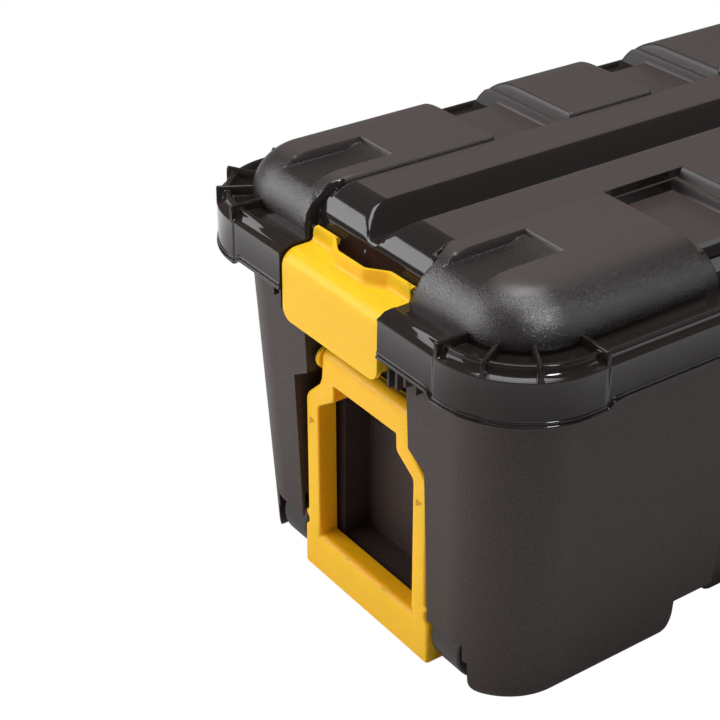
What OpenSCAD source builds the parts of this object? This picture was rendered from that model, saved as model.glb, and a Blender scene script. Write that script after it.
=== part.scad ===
// Heavy-duty storage trunk: deep tub, lift-off domed lid, two over-rim latches,
// two swing-out loop handles and a pair of transport wheels.
// X runs along the trunk, Y across it, Z up. The origin is on the ground at the
// centre of the trunk, and the end with the wheels faces -X.

/* [Overall] */
// Length over the raised ridge of the lid rim
ridge_l = 808; // [740:1:900]
// Width over the raised ridge of the lid rim
ridge_w = 490; // [470:1:540]
// Height of the ridge above the ground
ridge_z = 401; // [396:1:460]
// Wall thickness of the tub
tub_wall = 3.6; // [3:0.1:5]
// Wall thickness of the lid
lid_wall = 3.4; // [3:0.1:4.5]

/* [Lid rim] */
// How far the skirt stands outside the ridge
skirt_out = 8; // [6:0.5:10]
// Corner radius of the ridge in plan
ridge_r = 86; // [75:1:100]
// Drop from the ridge to the top edge of the skirt
cove_drop = 11; // [8:0.5:14]
// Depth of the skirt below the ridge
skirt_drop = 51; // [44:0.5:60]
// Extra depth of the skirt at the corners
corner_drop = 6; // [3:0.5:9]
// How far the corner bands stand out from the skirt
corner_proud = 1.6; // [1:0.1:2.5]
// Length of a corner band along the short end
band_end = 88; // [80:1:100]
// Length of a corner band along the long side
band_side = 104; // [90:1:120]
// Width of the ridge on top
ridge_t = 5; // [4:0.5:7]
// Depth of the gutter below the ridge
gutter_drop = 6; // [4:0.5:9]
// Width of the gutter between ridge and domes
gutter_w = 25; // [20:0.5:30]
// Thickness of a corner fin
fin_t = 4.2; // [3:0.1:6]

/* [Lid top] */
// Height of the domes above the ridge
dome_h = 45; // [38:0.5:55]
// Radius of the big round along the outer edge of the domes
dome_r = 49; // [40:0.5:50]
// Height of the middle plateau above the ridge
plateau_h = 40; // [34:0.5:44]
// Half width of the plateau
plateau_hw = 76; // [70:0.5:90]
// Height of the valley floors above the ridge
valley_h = 22; // [15:0.5:30]
// Half length of the middle dome
mid_dome_hl = 67; // [55:1:80]
// Length of a valley between two domes
valley_l = 78; // [60:1:95]
// Half width of the valley floor
valley_hw = 170; // [160:1:185]
// Half width of the centre groove at its top
groove_hw = 26; // [20:0.5:30]
// Half width of the centre groove at its bottom
groove_bw = 9; // [6:0.5:12]
// Depth of the centre groove
groove_d = 24; // [16:0.5:28]

/* [Tub] */
// Set-in of the tub wall from the ridge, just under the skirt
tub_in = 21; // [18:0.5:26]
// Draft of the tub walls, millimetres per millimetre of height
draft = 0.051; // [0.03:0.001:0.06]
// Corner radius of the tub
tub_r = 74; // [60:1:85]
// Height of the underside above the ground
belly_z = 40; // [38:1:55]
// Length of a corner foot along the trunk, from the ridge line
foot_l = 265; // [240:1:290]
// Half length of the deep channel in each long side
channel_hl = 83; // [70:1:100]
// Depth of that channel
channel_d = 30; // [20:1:36]
// Depth of the shallow panels beside the channel
panel_d = 3; // [2:0.5:5]

/* [Latches] */
// Half width of a latch plate
latch_hw = 75; // [65:0.5:85]
// Thickness of a latch plate
latch_t = 4; // [3:0.1:5]
// Height of the latch plate's lower edge above the ground
latch_z = 322; // [316:1:328]
// Distance of the latch pivot behind the ridge
latch_px = 34; // [33.5:0.1:34.5]
// Height of the latch pivot above the ridge
latch_pz = 2; // [1.5:0.1:2.5]
// Outer radius of a latch ear
ear_r = 4.5; // [4.2:0.1:4.8]
// Diameter of a latch pin
latch_pin_d = 4.5; // [4:0.1:5]

/* [Handles] */
// Half width of a handle at its neck
neck_hw = 73; // [66:0.5:78]
// Half width of a handle over its arms
arm_hw = 99; // [90:0.5:102]
// Width of a handle arm
arm_w = 21; // [16:0.5:26]
// Front to back depth of a handle
handle_t = 22; // [18:0.5:23]
// Height of the handle pivot above the ground
handle_pz = 262; // [254:1:268]
// Distance of the handle pivot behind the ridge
handle_px = 44; // [42:0.5:48]
// Height of the handle's lower edge above the ground
handle_low = 2; // [2:1:20]
// Height of the lower grip bar
grip_h = 47; // [38:1:50]
// Diameter of a handle pin
handle_pin_d = 8; // [6:0.5:10]

/* [Wheels] */
// Diameter of a wheel
wheel_d = 78; // [70:1:84]
// Width of a wheel
wheel_w = 42; // [34:1:44]
// Gap between a handle arm and the wheel beside it
wheel_gap = 8; // [6:0.5:10]
// Diameter of an axle
axle_d = 10; // [8:0.5:12]

/* [Fits] */
// Gap between faces that rest on each other
seat_gap = 0.3; // [0.2:0.05:0.5]
// Radial running clearance of a pin in its bore
run_gap = 0.08; // [0.05:0.01:0.1]
// Radial clearance of a pin in the bore that holds it
set_gap = 0.02; // [0.01:0.005:0.04]
// Gap beside the latches, handles and wheels
side_gap = 3; // [2:0.5:4]

/* [Hidden] */
$fn = 96;

plastic = [0.16, 0.15, 0.15];
yellow = [0.96, 0.76, 0.18];
steel = [0.72, 0.73, 0.75];
eps = 0.01;
big = 1200;
// How far a cutting solid reaches past the outside of the trunk.
clear = 60;

// The half sizes of the ridge rectangle, from which every plan size is taken.
hx = ridge_l / 2;
hy = ridge_w / 2;
gutter_z = ridge_z - gutter_drop;
skirt_top = ridge_z - cove_drop;
skirt_low = ridge_z - skirt_drop;
band_low = skirt_low - corner_drop;
dome_z = ridge_z + dome_h;
plateau_z = ridge_z + plateau_h;
valley_z = ridge_z + valley_h;
dome_in = gutter_w;
dome_plan_r = ridge_r - gutter_w + 4;
cove_r = 9;
plateau_front = 42;
plateau_crease = 78;
plateau_face_z = plateau_z - 27;
edge_r = 12;
step_w = 6;
step_z = dome_z - 11;
valley_out = mid_dome_hl + valley_l;
pocket_y0 = 101;
pocket_y1 = 149;
pocket_low = ridge_z + 29;
pocket_high = ridge_z + 34;
pocket_mouth = 20;
pocket_ramp = 114;
pocket_end = 139;
link_in = 8;
link_drop = 5;
groove_floor_r = 4;
groove_lift = 5;
bead_r = 1.6;
fin_low = 3;
fin_reach = 6;
notch_gap = 2;
notch_face = 1.6;
relief_hw = latch_hw + notch_gap + lid_wall + side_gap;
relief_in = 20;
rib_t = 3;
rib_low = 10;
rib_break = 20;
rib_break_l = 130;

// The pivot, reach and notch of the latches.
ear_hw = latch_hw + 4;
ear_gap_hw = 43;
latch_x = -hx + latch_px;
latch_pivot_z = ridge_z + latch_pz;
latch_face = -hx - 5.8;
latch_rise = -8.5;
latch_bend = 16;
tray_drop = 7.5;
wall_rise = 8.5;
wall_t = 3.5;
wall_mid_hw = 21;
wall_mid_in = 9.5;
latch_corner_r = 13;
ear_corner_r = 9;
return_l = 13;
latch_pin_l = 24;
latch_pin_in = 8;
pin_y = ear_hw + 1 + latch_pin_in - latch_pin_l / 2;
hook_reach = 5;
hook_h = 7;
catch_hw = 62;
catch_z = latch_z + hook_h + seat_gap;
catch_face = latch_face + latch_t + hook_reach + 0.7;
catch_h = 19;
wing_l = 27;
wing_h = 30;
wing_gap = 1.5;
wing_back = 8;

// Tub levels and the end recesses.
rim_top = gutter_z - lid_wall - seat_gap;
rim_t = 4;
rim_lip = 16;
rim_side = 3.5;
recess_neck_hw = neck_hw + 9;
recess_arm_hw = arm_hw + 7;
recess_top = catch_z + catch_h - 1;
handle_front = 9;
handle_wall = 3.6;
handle_lean = 1.3;
handle_edge_r = 5;
neck_h = 26;
shoulder_h = 50;
nub_z = 68;
bulge = 4;
opening_top = 20;
opening_knee = 38;
opening_bend = 18;
arm_hollow_top = 62;
cell_pitch = 62;
cell_w = 58;
recess_back = handle_px + handle_t - handle_front + 7;
pocket_hw = 70;
pocket_back = 94;
pocket_top = handle_pz - 22;
pocket_slope = 14;
shoulder_z0 = handle_pz - 16;
shoulder_z1 = shoulder_z0 - 14;
end_low = 58;
foot_gap = 5;
foot_r = 30;
sole_r = 14;
sole_in_r = 20;
mid_foot_t = 34;
mid_foot_in = 14;
mid_foot_r = 21;

// Wheels and their wells.
wheel_r = wheel_d / 2;
tread_t = 7;
tread_r = 3;
hub_t = 6;
web_t = 4;
wheel_y = arm_hw + wheel_gap + wheel_w;
wheel_px = 79;
well_gap = 7;
well_front = 38;
well_top = wheel_d + 6;
axle_cheek = 4.5;
cheek_out = 6;
cheek_hw = 16;
cheek_low = 14;
house_l = 15;
house_h = 17;
cap_t = 2.4;
cap_rim = 9;
foot_w = hy - tub_in - (ridge_z - 60) * draft - wheel_y - well_gap - foot_gap;

function inset_at(z) = tub_in + (ridge_z - 60 - z) * draft;

module end_of_trunk(far) {
    rotate([0, 0, far ? 180 : 0]) children();
}

module all_corners() {
    for (sx = [0, 1], sy = [0, 1]) mirror([sx, 0, 0]) mirror([0, sy, 0]) children();
}

module both_sides() {
    for (sy = [0, 1]) mirror([0, sy, 0]) children();
}

module both_ends() {
    for (sx = [0, 1]) mirror([sx, 0, 0]) children();
}

// A rectangle with round corners, given by its half sizes.
module round_rect(a, b, r) {
    union() {
        square([2 * (a - r), 2 * b], center = true);
        square([2 * a, 2 * (b - r)], center = true);
        for (sx = [-1, 1], sy = [-1, 1]) translate([sx * (a - r), sy * (b - r)]) circle(r);
    }
}

// The profile, drawn about the outline at zero, is carried round a rounded rectangle.
module loaf(a, b, r) {
    all_corners() translate([a - r, b - r, 0]) rotate_extrude(angle = 90) intersection() {
        translate([r, 0]) children();
        translate([0, -big]) square([big, 2 * big]);
    }
    both_ends() translate([a - r, b - r, 0]) rotate([90, 0, 0]) linear_extrude(2 * (b - r))
        translate([r, 0]) children();
    both_sides() translate([-(a - r), b - r, 0]) rotate([90, 0, 90]) linear_extrude(2 * (a - r))
        translate([r, 0]) children();
}

// Cross-section of the dome's outer edge, from the edge at zero inwards.
module dome_edge(t, floor_z) {
    r = dome_r - t;
    top = dome_z - t;
    difference() {
        translate([-dome_plan_r, floor_z]) square([dome_plan_r - t, top - floor_z]);
        difference() {
            translate([-dome_r, top - r]) square([dome_r + 1, r + 1]);
            translate([-dome_r, top - r]) circle(r);
        }
    }
}

// The whole top as one long loaf with the big round along its outer edge.
module dome_loaf(t, floor_z) {
    a = hx - dome_in;
    b = hy - dome_in;
    loaf(a, b, dome_plan_r) dome_edge(t, floor_z);
    translate([0, 0, (floor_z + dome_z - t) / 2]) {
        cube([2 * (a - dome_plan_r) + 1, 2 * (b - dome_plan_r) + 1, dome_z - t - floor_z], center = true);
    }
}

// A side view with rounded top corners, from x0 to x1.
module soft_top(x0, x1, top, low, r) {
    union() {
        translate([x0, low]) square([x1 - x0, top - r - low]);
        translate([x0 + r, low]) square([x1 - x0 - 2 * r, top - low]);
        translate([x0 + r, top - r]) circle(r);
        translate([x1 - r, top - r]) circle(r);
    }
}

// One dome: the loaf kept between two stations, with a small ledge on the ends in the valleys.
module dome(x0, x1, t, floor_z) {
    intersection() {
        dome_loaf(t, floor_z);
        translate([0, hy, 0]) rotate([90, 0, 0]) linear_extrude(hy - plateau_hw + t) union() {
            soft_top(x0 + t + step_w, x1 - t - step_w, dome_z - t, floor_z, edge_r - t);
            translate([x0 + t, floor_z]) square([x1 - x0 - 2 * t, step_z - t - floor_z]);
        }
        translate([-big / 2, 0, 0]) rotate([90, 0, 90]) linear_extrude(big)
            soft_top(plateau_hw + t, hy + 4 * edge_r, dome_z - t, floor_z, edge_r - t);
    }
}

// Cuts the finger pocket into the end of a corner dome.
module dome_pocket(t) {
    g = pocket_y0 - t;
    rotate([90, 0, 0]) translate([0, 0, -pocket_y1 - t]) linear_extrude(pocket_y1 - g + t)
        polygon([
            [-hx + pocket_mouth, pocket_low - t], [-hx + pocket_ramp + t / 2, pocket_high - t],
            [-hx + pocket_end + t, dome_z + 1], [-hx + pocket_end + t, dome_z + clear],
            [-hx + pocket_mouth, dome_z + clear]
        ]);
}

module plateau(t, floor_z) {
    front = hx - plateau_front - t;
    crease = hx - plateau_crease;
    run = front - crease;
    rise = plateau_z - plateau_face_z;
    front_r = (run * run + rise * rise) / (2 * rise);
    intersection() {
        translate([0, plateau_hw + eps - t, 0]) rotate([90, 0, 0])
            linear_extrude(2 * (plateau_hw + eps - t)) difference() {
                translate([-front, floor_z]) square([2 * front, plateau_z - t - floor_z]);
                for (s = [-1, 1]) difference() {
                    translate([s * (crease + big / 2), plateau_z]) square([big, 2 * rise], center = true);
                    translate([s * crease, plateau_z - t - front_r]) circle(front_r, $fn = 360);
                }
            }
        translate([-big / 2, 0, 0]) rotate([90, 0, 90]) linear_extrude(big) difference() {
            translate([-big / 2, floor_z]) square([big, plateau_z - floor_z]);
            groove_cut(t);
        }
    }
}

module groove_cut(t) {
    low = plateau_z - groove_d - t;
    polygon([
        [-groove_hw - t, plateau_z + 1], [-groove_bw - t, low + groove_lift],
        [-groove_bw + groove_floor_r, low], [groove_bw - groove_floor_r, low],
        [groove_bw + t, low + groove_lift], [groove_hw + t, plateau_z + 1]
    ]);
}

module valleys(t, floor_z) {
    intersection() {
        translate([-big / 2, 0, 0]) rotate([90, 0, 90]) linear_extrude(big)
            soft_top(-valley_hw + t, valley_hw - t, valley_z - t, floor_z, edge_r - t);
        translate([0, 0, floor_z + 100]) cube([2 * valley_out + 10, big, 200], center = true);
        translate([0, 0, floor_z - eps]) linear_extrude(200) difference() {
            square([big, big], center = true);
            square([big, 2 * (groove_hw + 12)], center = true);
        }
    }
}

// Everything that stands up from the gutter, as a solid set in by t.
module lid_top(t, floor_z) {
    difference() {
        union() {
            both_ends() both_sides() {
                difference() {
                    dome(-hx - clear, -valley_out, t, floor_z);
                    dome_pocket(t);
                }
            }
            both_sides() dome(-mid_dome_hl, mid_dome_hl, t, floor_z);
            plateau(t, floor_z);
            valleys(t, floor_z);
            if (t > 0) both_sides() dome_links(t, floor_z);
        }
        both_ends() latch_bay(t);
    }
}

// Joins the hollow of each dome to the hollow under the plateau.
module dome_links(t, floor_z) {
    h = plateau_z - t - link_drop - floor_z;
    y0 = plateau_hw - t - 2;
    translate([-mid_dome_hl + t, y0, floor_z]) cube([2 * (mid_dome_hl - t), 2 * t + 4, h]);
    both_ends() translate([-hx + plateau_front + t + link_in, y0, floor_z])
        cube([hx - plateau_front - link_in - valley_out - 2 * t, 2 * t + 4, h]);
}

// Clears the bay between the corner domes where a latch's ears turn.
module latch_bay(t) {
    translate([-hx - clear, -ear_hw - 1 - t, gutter_z - t])
        cube([clear + plateau_front + t, 2 * (ear_hw + 1 + t), dome_h + clear]);
}

// The rim in section is a skirt, a cove and a ridge with the gutter behind it.
module rim_solid(t) {
    so = skirt_out - t;
    union() {
        translate([0, 0, skirt_low]) linear_extrude(skirt_top - skirt_low - t)
            round_rect(hx + so, hy + so, ridge_r + so);
        translate([0, 0, skirt_low]) linear_extrude(gutter_z - skirt_low - t)
            round_rect(hx - t, hy - t, ridge_r - t);
    }
}

module ridge_ring() {
    translate([0, 0, gutter_z - lid_wall]) linear_extrude(ridge_z - gutter_z + lid_wall) difference() {
        round_rect(hx, hy, ridge_r);
        round_rect(hx - ridge_t, hy - ridge_t, ridge_r - ridge_t);
    }
    // The cove leans against the ridge all the way round.
    loaf(hx + 2, hy + 2, ridge_r + 2) difference() {
        translate([-4, skirt_top - lid_wall]) square([9.9, cove_drop + lid_wall - 2]);
        translate([7.4, skirt_top + cove_r]) circle(cove_r);
    }
}

// The deeper, slightly proud bands round the four corners of the skirt.
module corner_bands() {
    so = skirt_out + corner_proud;
    intersection() {
        translate([0, 0, band_low]) linear_extrude(skirt_top - 1 - band_low) difference() {
            round_rect(hx + so, hy + so, ridge_r + so);
            round_rect(hx + skirt_out - lid_wall, hy + skirt_out - lid_wall, ridge_r + skirt_out - lid_wall);
        }
        all_corners() translate([hx - band_side, hy - band_end, band_low - 1])
            cube([band_side + 2 * so, band_end + 2 * so, skirt_top]);
    }
    // A thin bead runs along the lower edge of the skirt.
    translate([0, 0, skirt_low]) loaf(hx + skirt_out, hy + skirt_out, ridge_r + skirt_out)
        translate([0, bead_r]) circle(bead_r, $fn = 24);
}

module fin(len) {
    translate([-len, -fin_t / 2, skirt_top - fin_low]) cube([len, fin_t, cove_drop + 2 * fin_low]);
}

// Four fins stiffen the rim at each corner.
module corner_fins() {
    reach = ridge_r - gutter_w;
    cx = hx - ridge_r;
    cy = hy - ridge_r;
    so = skirt_out - 0.4;
    difference() {
        fins_in_rim(so, reach, cx, cy);
        translate([0, 0, -eps]) rim_solid(lid_wall);
    }
}

module fins_in_rim(so, reach, cx, cy) {
    all_corners() intersection() {
        union() {
            translate([hx + so, hy - band_end + fin_t / 2, 0]) fin(gutter_w + so + fin_reach);
            translate([hx - band_side + fin_t / 2, hy + so, 0]) rotate([0, 0, 90])
                fin(gutter_w + so + fin_reach);
            for (a = [30, 60]) translate([cx, cy, 0]) rotate([0, 0, a])
                translate([ridge_r + so, 0, 0]) fin(ridge_r + so - reach + fin_reach);
        }
        translate([0, 0, skirt_top - 5]) linear_extrude(60)
            round_rect(hx + so, hy + so, ridge_r + so);
    }
}

// The latch sits in a shallow notch of the rim.
module latch_notch(t) {
    hw = latch_hw + notch_gap + t;
    face = -hx - notch_face + t;
    translate([face - clear, -hw, band_low - clear]) cube([clear, 2 * hw, 4 * clear]);
}

// Behind the notch the gutter is lowered into a tray for the top of the latch.
module tray_room(t) {
    hw = latch_hw + notch_gap;
    translate([-hx - clear, -hw - t, gutter_z - tray_drop - t])
        cube([clear + plateau_front + t, 2 * (hw + t), dome_h + clear]);
}

module latch_tray() {
    hw = latch_hw + notch_gap + lid_wall;
    difference() {
        translate([-hx - notch_face, -hw, gutter_z - tray_drop - lid_wall])
            cube([plateau_front + notch_face + lid_wall, 2 * hw, tray_drop + lid_wall]);
        tray_room(0);
    }
}

module notch_wall() {
    hw = latch_hw + notch_gap + lid_wall;
    translate([-hx - notch_face, -hw, skirt_low])
        cube([2 * lid_wall, 2 * hw, gutter_z - tray_drop - skirt_low]);
    for (s = [-1, 1]) translate([-hx - skirt_out + 1, s * (hw - lid_wall / 2) - lid_wall / 2, skirt_low])
        cube([skirt_out, lid_wall, skirt_top - skirt_low]);
}

// Rounds the top of the notch so that the bend of the latch clears it.
module notch_round() {
    hw = latch_hw + notch_gap;
    cx = latch_face + latch_bend;
    cz = ridge_z + latch_rise - latch_bend;
    difference() {
        translate([cx - clear, -hw, cz]) cube([clear, 2 * hw, clear]);
        translate([cx, 0, cz]) rotate([90, 0, 0])
            cylinder(r = latch_bend - latch_t - 0.4, h = 2 * hw + 2, center = true);
    }
}

// Bores in the dome walls that take the latch pins.
module latch_bores() {
    for (s = [-1, 1]) translate([latch_x, s * (ear_hw + 1), latch_pivot_z]) rotate([90, 0, 0])
        cylinder(d = latch_pin_d + 2 * run_gap, h = 2 * latch_pin_l, center = true);
}

module pin_bosses() {
    for (s = [-1, 1]) translate([latch_x, s * (ear_hw + 1 + latch_pin_in / 2 + 1), 0]) {
        translate([-ear_r, -latch_pin_in / 2 - 1, gutter_z - 1])
            cube([2 * ear_r + 12, latch_pin_in + 2, latch_pz + gutter_drop + 1 + ear_r]);
    }
}

// A rib under the lid locates it just inside the tub wall.
module locating_rib() {
    rib_in = inset_at(rim_top) + tub_wall + 2;
    rib_h = rib_low + 2 + gutter_z - rim_top - lid_wall;
    translate([0, 0, rim_top - rib_low]) linear_extrude(rib_h) difference() {
        round_rect(hx - rib_in, hy - rib_in, tub_r - tub_wall - 2);
        round_rect(hx - rib_in - rib_t, hy - rib_in - rib_t, tub_r - tub_wall - 2 - rib_t);
        for (s = [-1, 1]) translate([s * hx, 0])
            square([2 * rib_break_l, 2 * (recess_arm_hw + rib_break)], center = true);
        square([2 * (channel_hl + rib_break), big], center = true);
    }
}

module lid() {
    color(plastic) difference() {
        union() {
            difference() {
                union() {
                    difference() {
                        rim_solid(0);
                        translate([0, 0, -eps]) rim_solid(lid_wall);
                        translate([0, 0, skirt_low - 20]) linear_extrude(21)
                            round_rect(hx + skirt_out - lid_wall, hy + skirt_out - lid_wall,
                                       ridge_r + skirt_out - lid_wall);
                    }
                    ridge_ring();
                    corner_bands();
                }
                both_ends() latch_notch(0);
                both_ends() tray_room(0);
            }
            both_ends() latch_tray();
            lid_top(0, gutter_z - lid_wall);
            corner_fins();
            both_ends() notch_wall();
            both_ends() pin_bosses();
            locating_rib();
        }
        lid_top(lid_wall, gutter_z - lid_wall - 1);
        both_ends() notch_round();
        both_ends() latch_bores();
    }
}

// Tub body: a drafted box with round corners, between two heights and set in by t.
// Its lower edge is rounded to the radius r as seen from outside.
module drafted(z0, z1, t, r) {
    q = max(r - t, 0);
    hull() {
        for (k = [0 : 15 : 90]) {
            e = t + q * (1 - sin(k));
            z = z0 + q * (1 - cos(k));
            a = inset_at(z) + e;
            translate([0, 0, z]) linear_extrude(0.1) round_rect(hx - a, hy - a, tub_r - e);
        }
        translate([0, 0, z1 - 0.1]) linear_extrude(0.1)
            round_rect(hx - inset_at(z1) - t, hy - inset_at(z1) - t, tub_r - t);
    }
}

// Outline of an end recess, seen from the end.
module recess_outline(t) {
    polygon([
        [-recess_neck_hw - t, recess_top], [-recess_neck_hw - t, shoulder_z0 + t],
        [-recess_arm_hw - t, shoulder_z1 + t], [-recess_arm_hw - t, -1],
        [recess_arm_hw + t, -1], [recess_arm_hw + t, shoulder_z1 + t],
        [recess_neck_hw + t, shoulder_z0 + t], [recess_neck_hw + t, recess_top]
    ]);
}

// Room for a handle, with the deeper finger pocket behind it.
module end_recess(t) {
    translate([-hx - clear, 0, 0]) rotate([90, 0, 90]) linear_extrude(clear + recess_back + t)
        recess_outline(t);
    rotate([90, 0, 0]) translate([0, 0, -pocket_hw - t]) linear_extrude(2 * (pocket_hw + t)) polygon([
        [-hx, pocket_top + t], [-hx + pocket_back + t, pocket_top - pocket_slope],
        [-hx + pocket_back + t, belly_z + tub_wall + 3 - t], [-hx + recess_back - 2, belly_z + tub_wall - t],
        [-hx, belly_z + tub_wall - t]
    ]);
}

// A well for one wheel, seen from below.
module wheel_well(t) {
    y0 = wheel_y - wheel_w - well_gap - t;
    for (s = [-1, 1]) translate([-hx - clear, s > 0 ? y0 : -wheel_y - well_gap - t, -1]) {
        cube([wheel_px + clear + wheel_r + well_gap + t, wheel_w + 2 * well_gap + 2 * t, end_low + 1]);
    }
    for (s = [-1, 1]) translate([-hx + well_front - t, s > 0 ? y0 : -wheel_y - well_gap - t, -1]) {
        cube([wheel_px - well_front + wheel_r + well_gap + 2 * t, wheel_w + 2 * well_gap + 2 * t,
              well_top + 1 + t]);
    }
}

// The deep channel in the middle of each long side, with a panel on either side of it.
module side_channel(t) {
    both_sides() {
        translate([-channel_hl - t, hy - tub_in - channel_d - t, -1])
            cube([2 * (channel_hl + t), channel_d + clear, rim_top - rim_lip]);
    }
}

module side_panels() {
    panel_x1 = hx - foot_l;
    z_in = inset_at(0);
    both_sides() both_ends() translate([-panel_x1, hy - z_in - panel_d, -1])
        rotate([-atan(draft), 0, 0]) cube([panel_x1 - channel_hl + 1, clear, rim_top - rim_lip - 2]);
}

// Feet: four long corner feet and two short ones in the side channels.
module foot_cut() {
    x1 = hx - foot_l;
    r = foot_r;
    // Opens the underside between the feet.
    translate([-x1, -big / 2, -1]) cube([2 * x1, big, belly_z + 1]);
    translate([-big / 2, -hy + inset_at(0) + foot_w, -1])
        cube([big, 2 * (hy - inset_at(0) - foot_w), belly_z + 1]);
    sole_rounding(0);
    // Rounds the inner end of each corner foot.
    both_ends() difference() {
        translate([-x1 - r, -big / 2, -1]) cube([r + 1, big, r + 1]);
        translate([-x1 - r, 0, r]) rotate([90, 0, 0]) cylinder(r = r, h = big, center = true);
    }
}

// Rounds the inner lower edge of the corner feet.
module sole_rounding(t) {
    y1 = hy - inset_at(0) - foot_w;
    both_sides() difference() {
        translate([-big / 2, y1 - 1, -1]) cube([big, sole_in_r + 1, sole_in_r + 1]);
        translate([0, y1 + sole_in_r, sole_in_r]) rotate([0, 90, 0])
            cylinder(r = sole_in_r - t, h = big + 2, center = true);
    }
}

// The hollow inside each corner foot, open to the inside of the tub.
module foot_hollow() {
    x1 = hx - foot_l;
    r = foot_r - tub_wall;
    y1 = hy - inset_at(0) - foot_w;
    difference() {
        intersection() {
            drafted(tub_wall, belly_z + 2 * tub_wall, tub_wall, sole_r);
            both_sides() translate([-big / 2, y1 + tub_wall, 0]) cube([big, foot_w, 2 * belly_z]);
            both_ends() difference() {
                translate([-big / 2, -big / 2, tub_wall]) cube([big / 2 - x1 - tub_wall, big, 2 * belly_z]);
                difference() {
                    translate([-x1 - tub_wall - r, -big / 2, 0]) cube([r + 1, big, r + tub_wall]);
                    translate([-x1 - tub_wall - r, 0, r + tub_wall]) rotate([90, 0, 0])
                        cylinder(r = r, h = big, center = true);
                }
            }
        }
        sole_rounding(tub_wall);
    }
}

module middle_feet() {
    y0 = hy - inset_at(0) - channel_d - mid_foot_t;
    hl = channel_hl - mid_foot_in;
    both_sides() difference() {
        translate([-hl, y0, 0]) cube([2 * hl, mid_foot_t, belly_z + 2]);
        translate([-hl + tub_wall, y0 + tub_wall, -1])
            cube([2 * (hl - tub_wall), mid_foot_t - 2 * tub_wall, belly_z + 1]);
        both_ends() difference() {
            translate([-hl - 1, 0, -1]) cube([mid_foot_r + 1, big, mid_foot_r + 1]);
            translate([-hl + mid_foot_r, hy, mid_foot_r]) rotate([90, 0, 0])
                cylinder(r = mid_foot_r, h = big);
        }
    }
}

// The ridge outline set in by a distance, and a band of it between two distances.
module rim_plan(d) {
    round_rect(hx - d, hy - d, ridge_r - d);
}

module rim_band(d0, d1) {
    difference() {
        rim_plan(d0);
        rim_plan(d1);
    }
}

module tub_rim() {
    rim_out = -skirt_out + lid_wall + rim_side;
    step_in = lid_wall + 0.8;
    low_top = skirt_top - lid_wall - seat_gap;
    difference() {
        union() {
            translate([0, 0, rim_top - rim_t]) linear_extrude(rim_t) rim_plan(step_in);
            // The flange steps down outside, under the cove of the lid, and ends in a lip.
            translate([0, 0, low_top - rim_t]) linear_extrude(rim_top - low_top + rim_t)
                rim_band(step_in, step_in + tub_wall);
            translate([0, 0, low_top - rim_t]) linear_extrude(rim_t) rim_band(rim_out, step_in + tub_wall);
            translate([0, 0, rim_top - rim_lip]) linear_extrude(low_top - rim_top + rim_lip)
                rim_band(rim_out, rim_out + tub_wall);
        }
        drafted(rim_top - rim_lip - 1, rim_top + 1, tub_wall, 0);
        // The rim stays clear of the lid's notch behind each latch.
        both_ends() translate([-hx - clear, -relief_hw, rim_top - rim_lip - 1])
            cube([clear + 2 * lid_wall + side_gap - notch_face, 2 * relief_hw, rim_lip + 2]);
    }
}

// Under each tray of the lid the rim of the tub is lower.
module tray_relief() {
    translate([-hx - clear, -relief_hw, rim_top - tray_drop])
        cube([clear + recess_back + relief_in, 2 * relief_hw, clear]);
}

// The ledge under each latch that its lower edge snaps below.
module latch_catch() {
    x0 = catch_face;
    x1 = -hx + recess_back + 1;
    difference() {
        translate([x0, -catch_hw, catch_z]) cube([x1 - x0, 2 * catch_hw, catch_h]);
        translate([x0 + rib_t, -catch_hw + rib_t, catch_z + rib_t])
            cube([x1 - x0 - rib_t - 1, 2 * (catch_hw - rib_t), catch_h]);
    }
    for (y = [-catch_hw / 3, catch_hw / 3]) translate([x0, y - rib_t / 2, catch_z])
        cube([x1 - x0, rib_t, catch_h]);
}

// A comb of ribs under the skirt on each side of the latch.
module catch_wing() {
    y0 = latch_hw + 4;
    x0 = catch_face - 1;
    top = skirt_low - wing_gap;
    depth = -hx + inset_at(top) + 2.4 - x0;
    translate([x0 + 2, y0, top - rib_t]) cube([depth - 2, wing_l, rib_t]);
    translate([x0 + depth - wing_back, y0, top - wing_h]) cube([wing_back, wing_l, wing_h]);
    for (k = [0 : 2]) translate([x0, y0 + k * (wing_l - rib_t) / 2, top - wing_h + k * k * rib_t])
        cube([depth, rib_t, wing_h - k * k * rib_t]);
}

module handle_bores() {
    translate([-hx + handle_px, 0, handle_pz]) rotate([90, 0, 0])
        cylinder(d = handle_pin_d + 2 * set_gap, h = 2 * (recess_neck_hw + tub_wall + 4), center = true);
}

// Cheeks on both sides of each wheel carry its axle.
module axle_cheeks() {
    y_in = wheel_y - wheel_w - well_gap - axle_cheek;
    low = wheel_r - cheek_low;
    for (m = [0, 1]) mirror([0, m, 0]) translate([-hx + wheel_px - cheek_hw, 0, 0]) {
        translate([0, y_in, low]) cube([2 * cheek_hw, axle_cheek, well_top - low]);
        translate([0, wheel_y + well_gap, low]) cube([2 * cheek_hw, cheek_out, well_top - low]);
        // A housing in the floor keeps the axle's cap out of the load space.
        translate([0, y_in - house_l, belly_z]) cube([2 * cheek_hw, house_l + 1, house_h]);
    }
}

module axle_bores() {
    y0 = wheel_y - wheel_w - well_gap - axle_cheek - house_l - 1;
    for (m = [0, 1]) mirror([0, m, 0]) translate([-hx + wheel_px, y0, wheel_r]) rotate([-90, 0, 0])
        cylinder(d = axle_d + 2 * set_gap, h = wheel_y + well_gap + axle_cheek + set_gap - y0);
}

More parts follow.
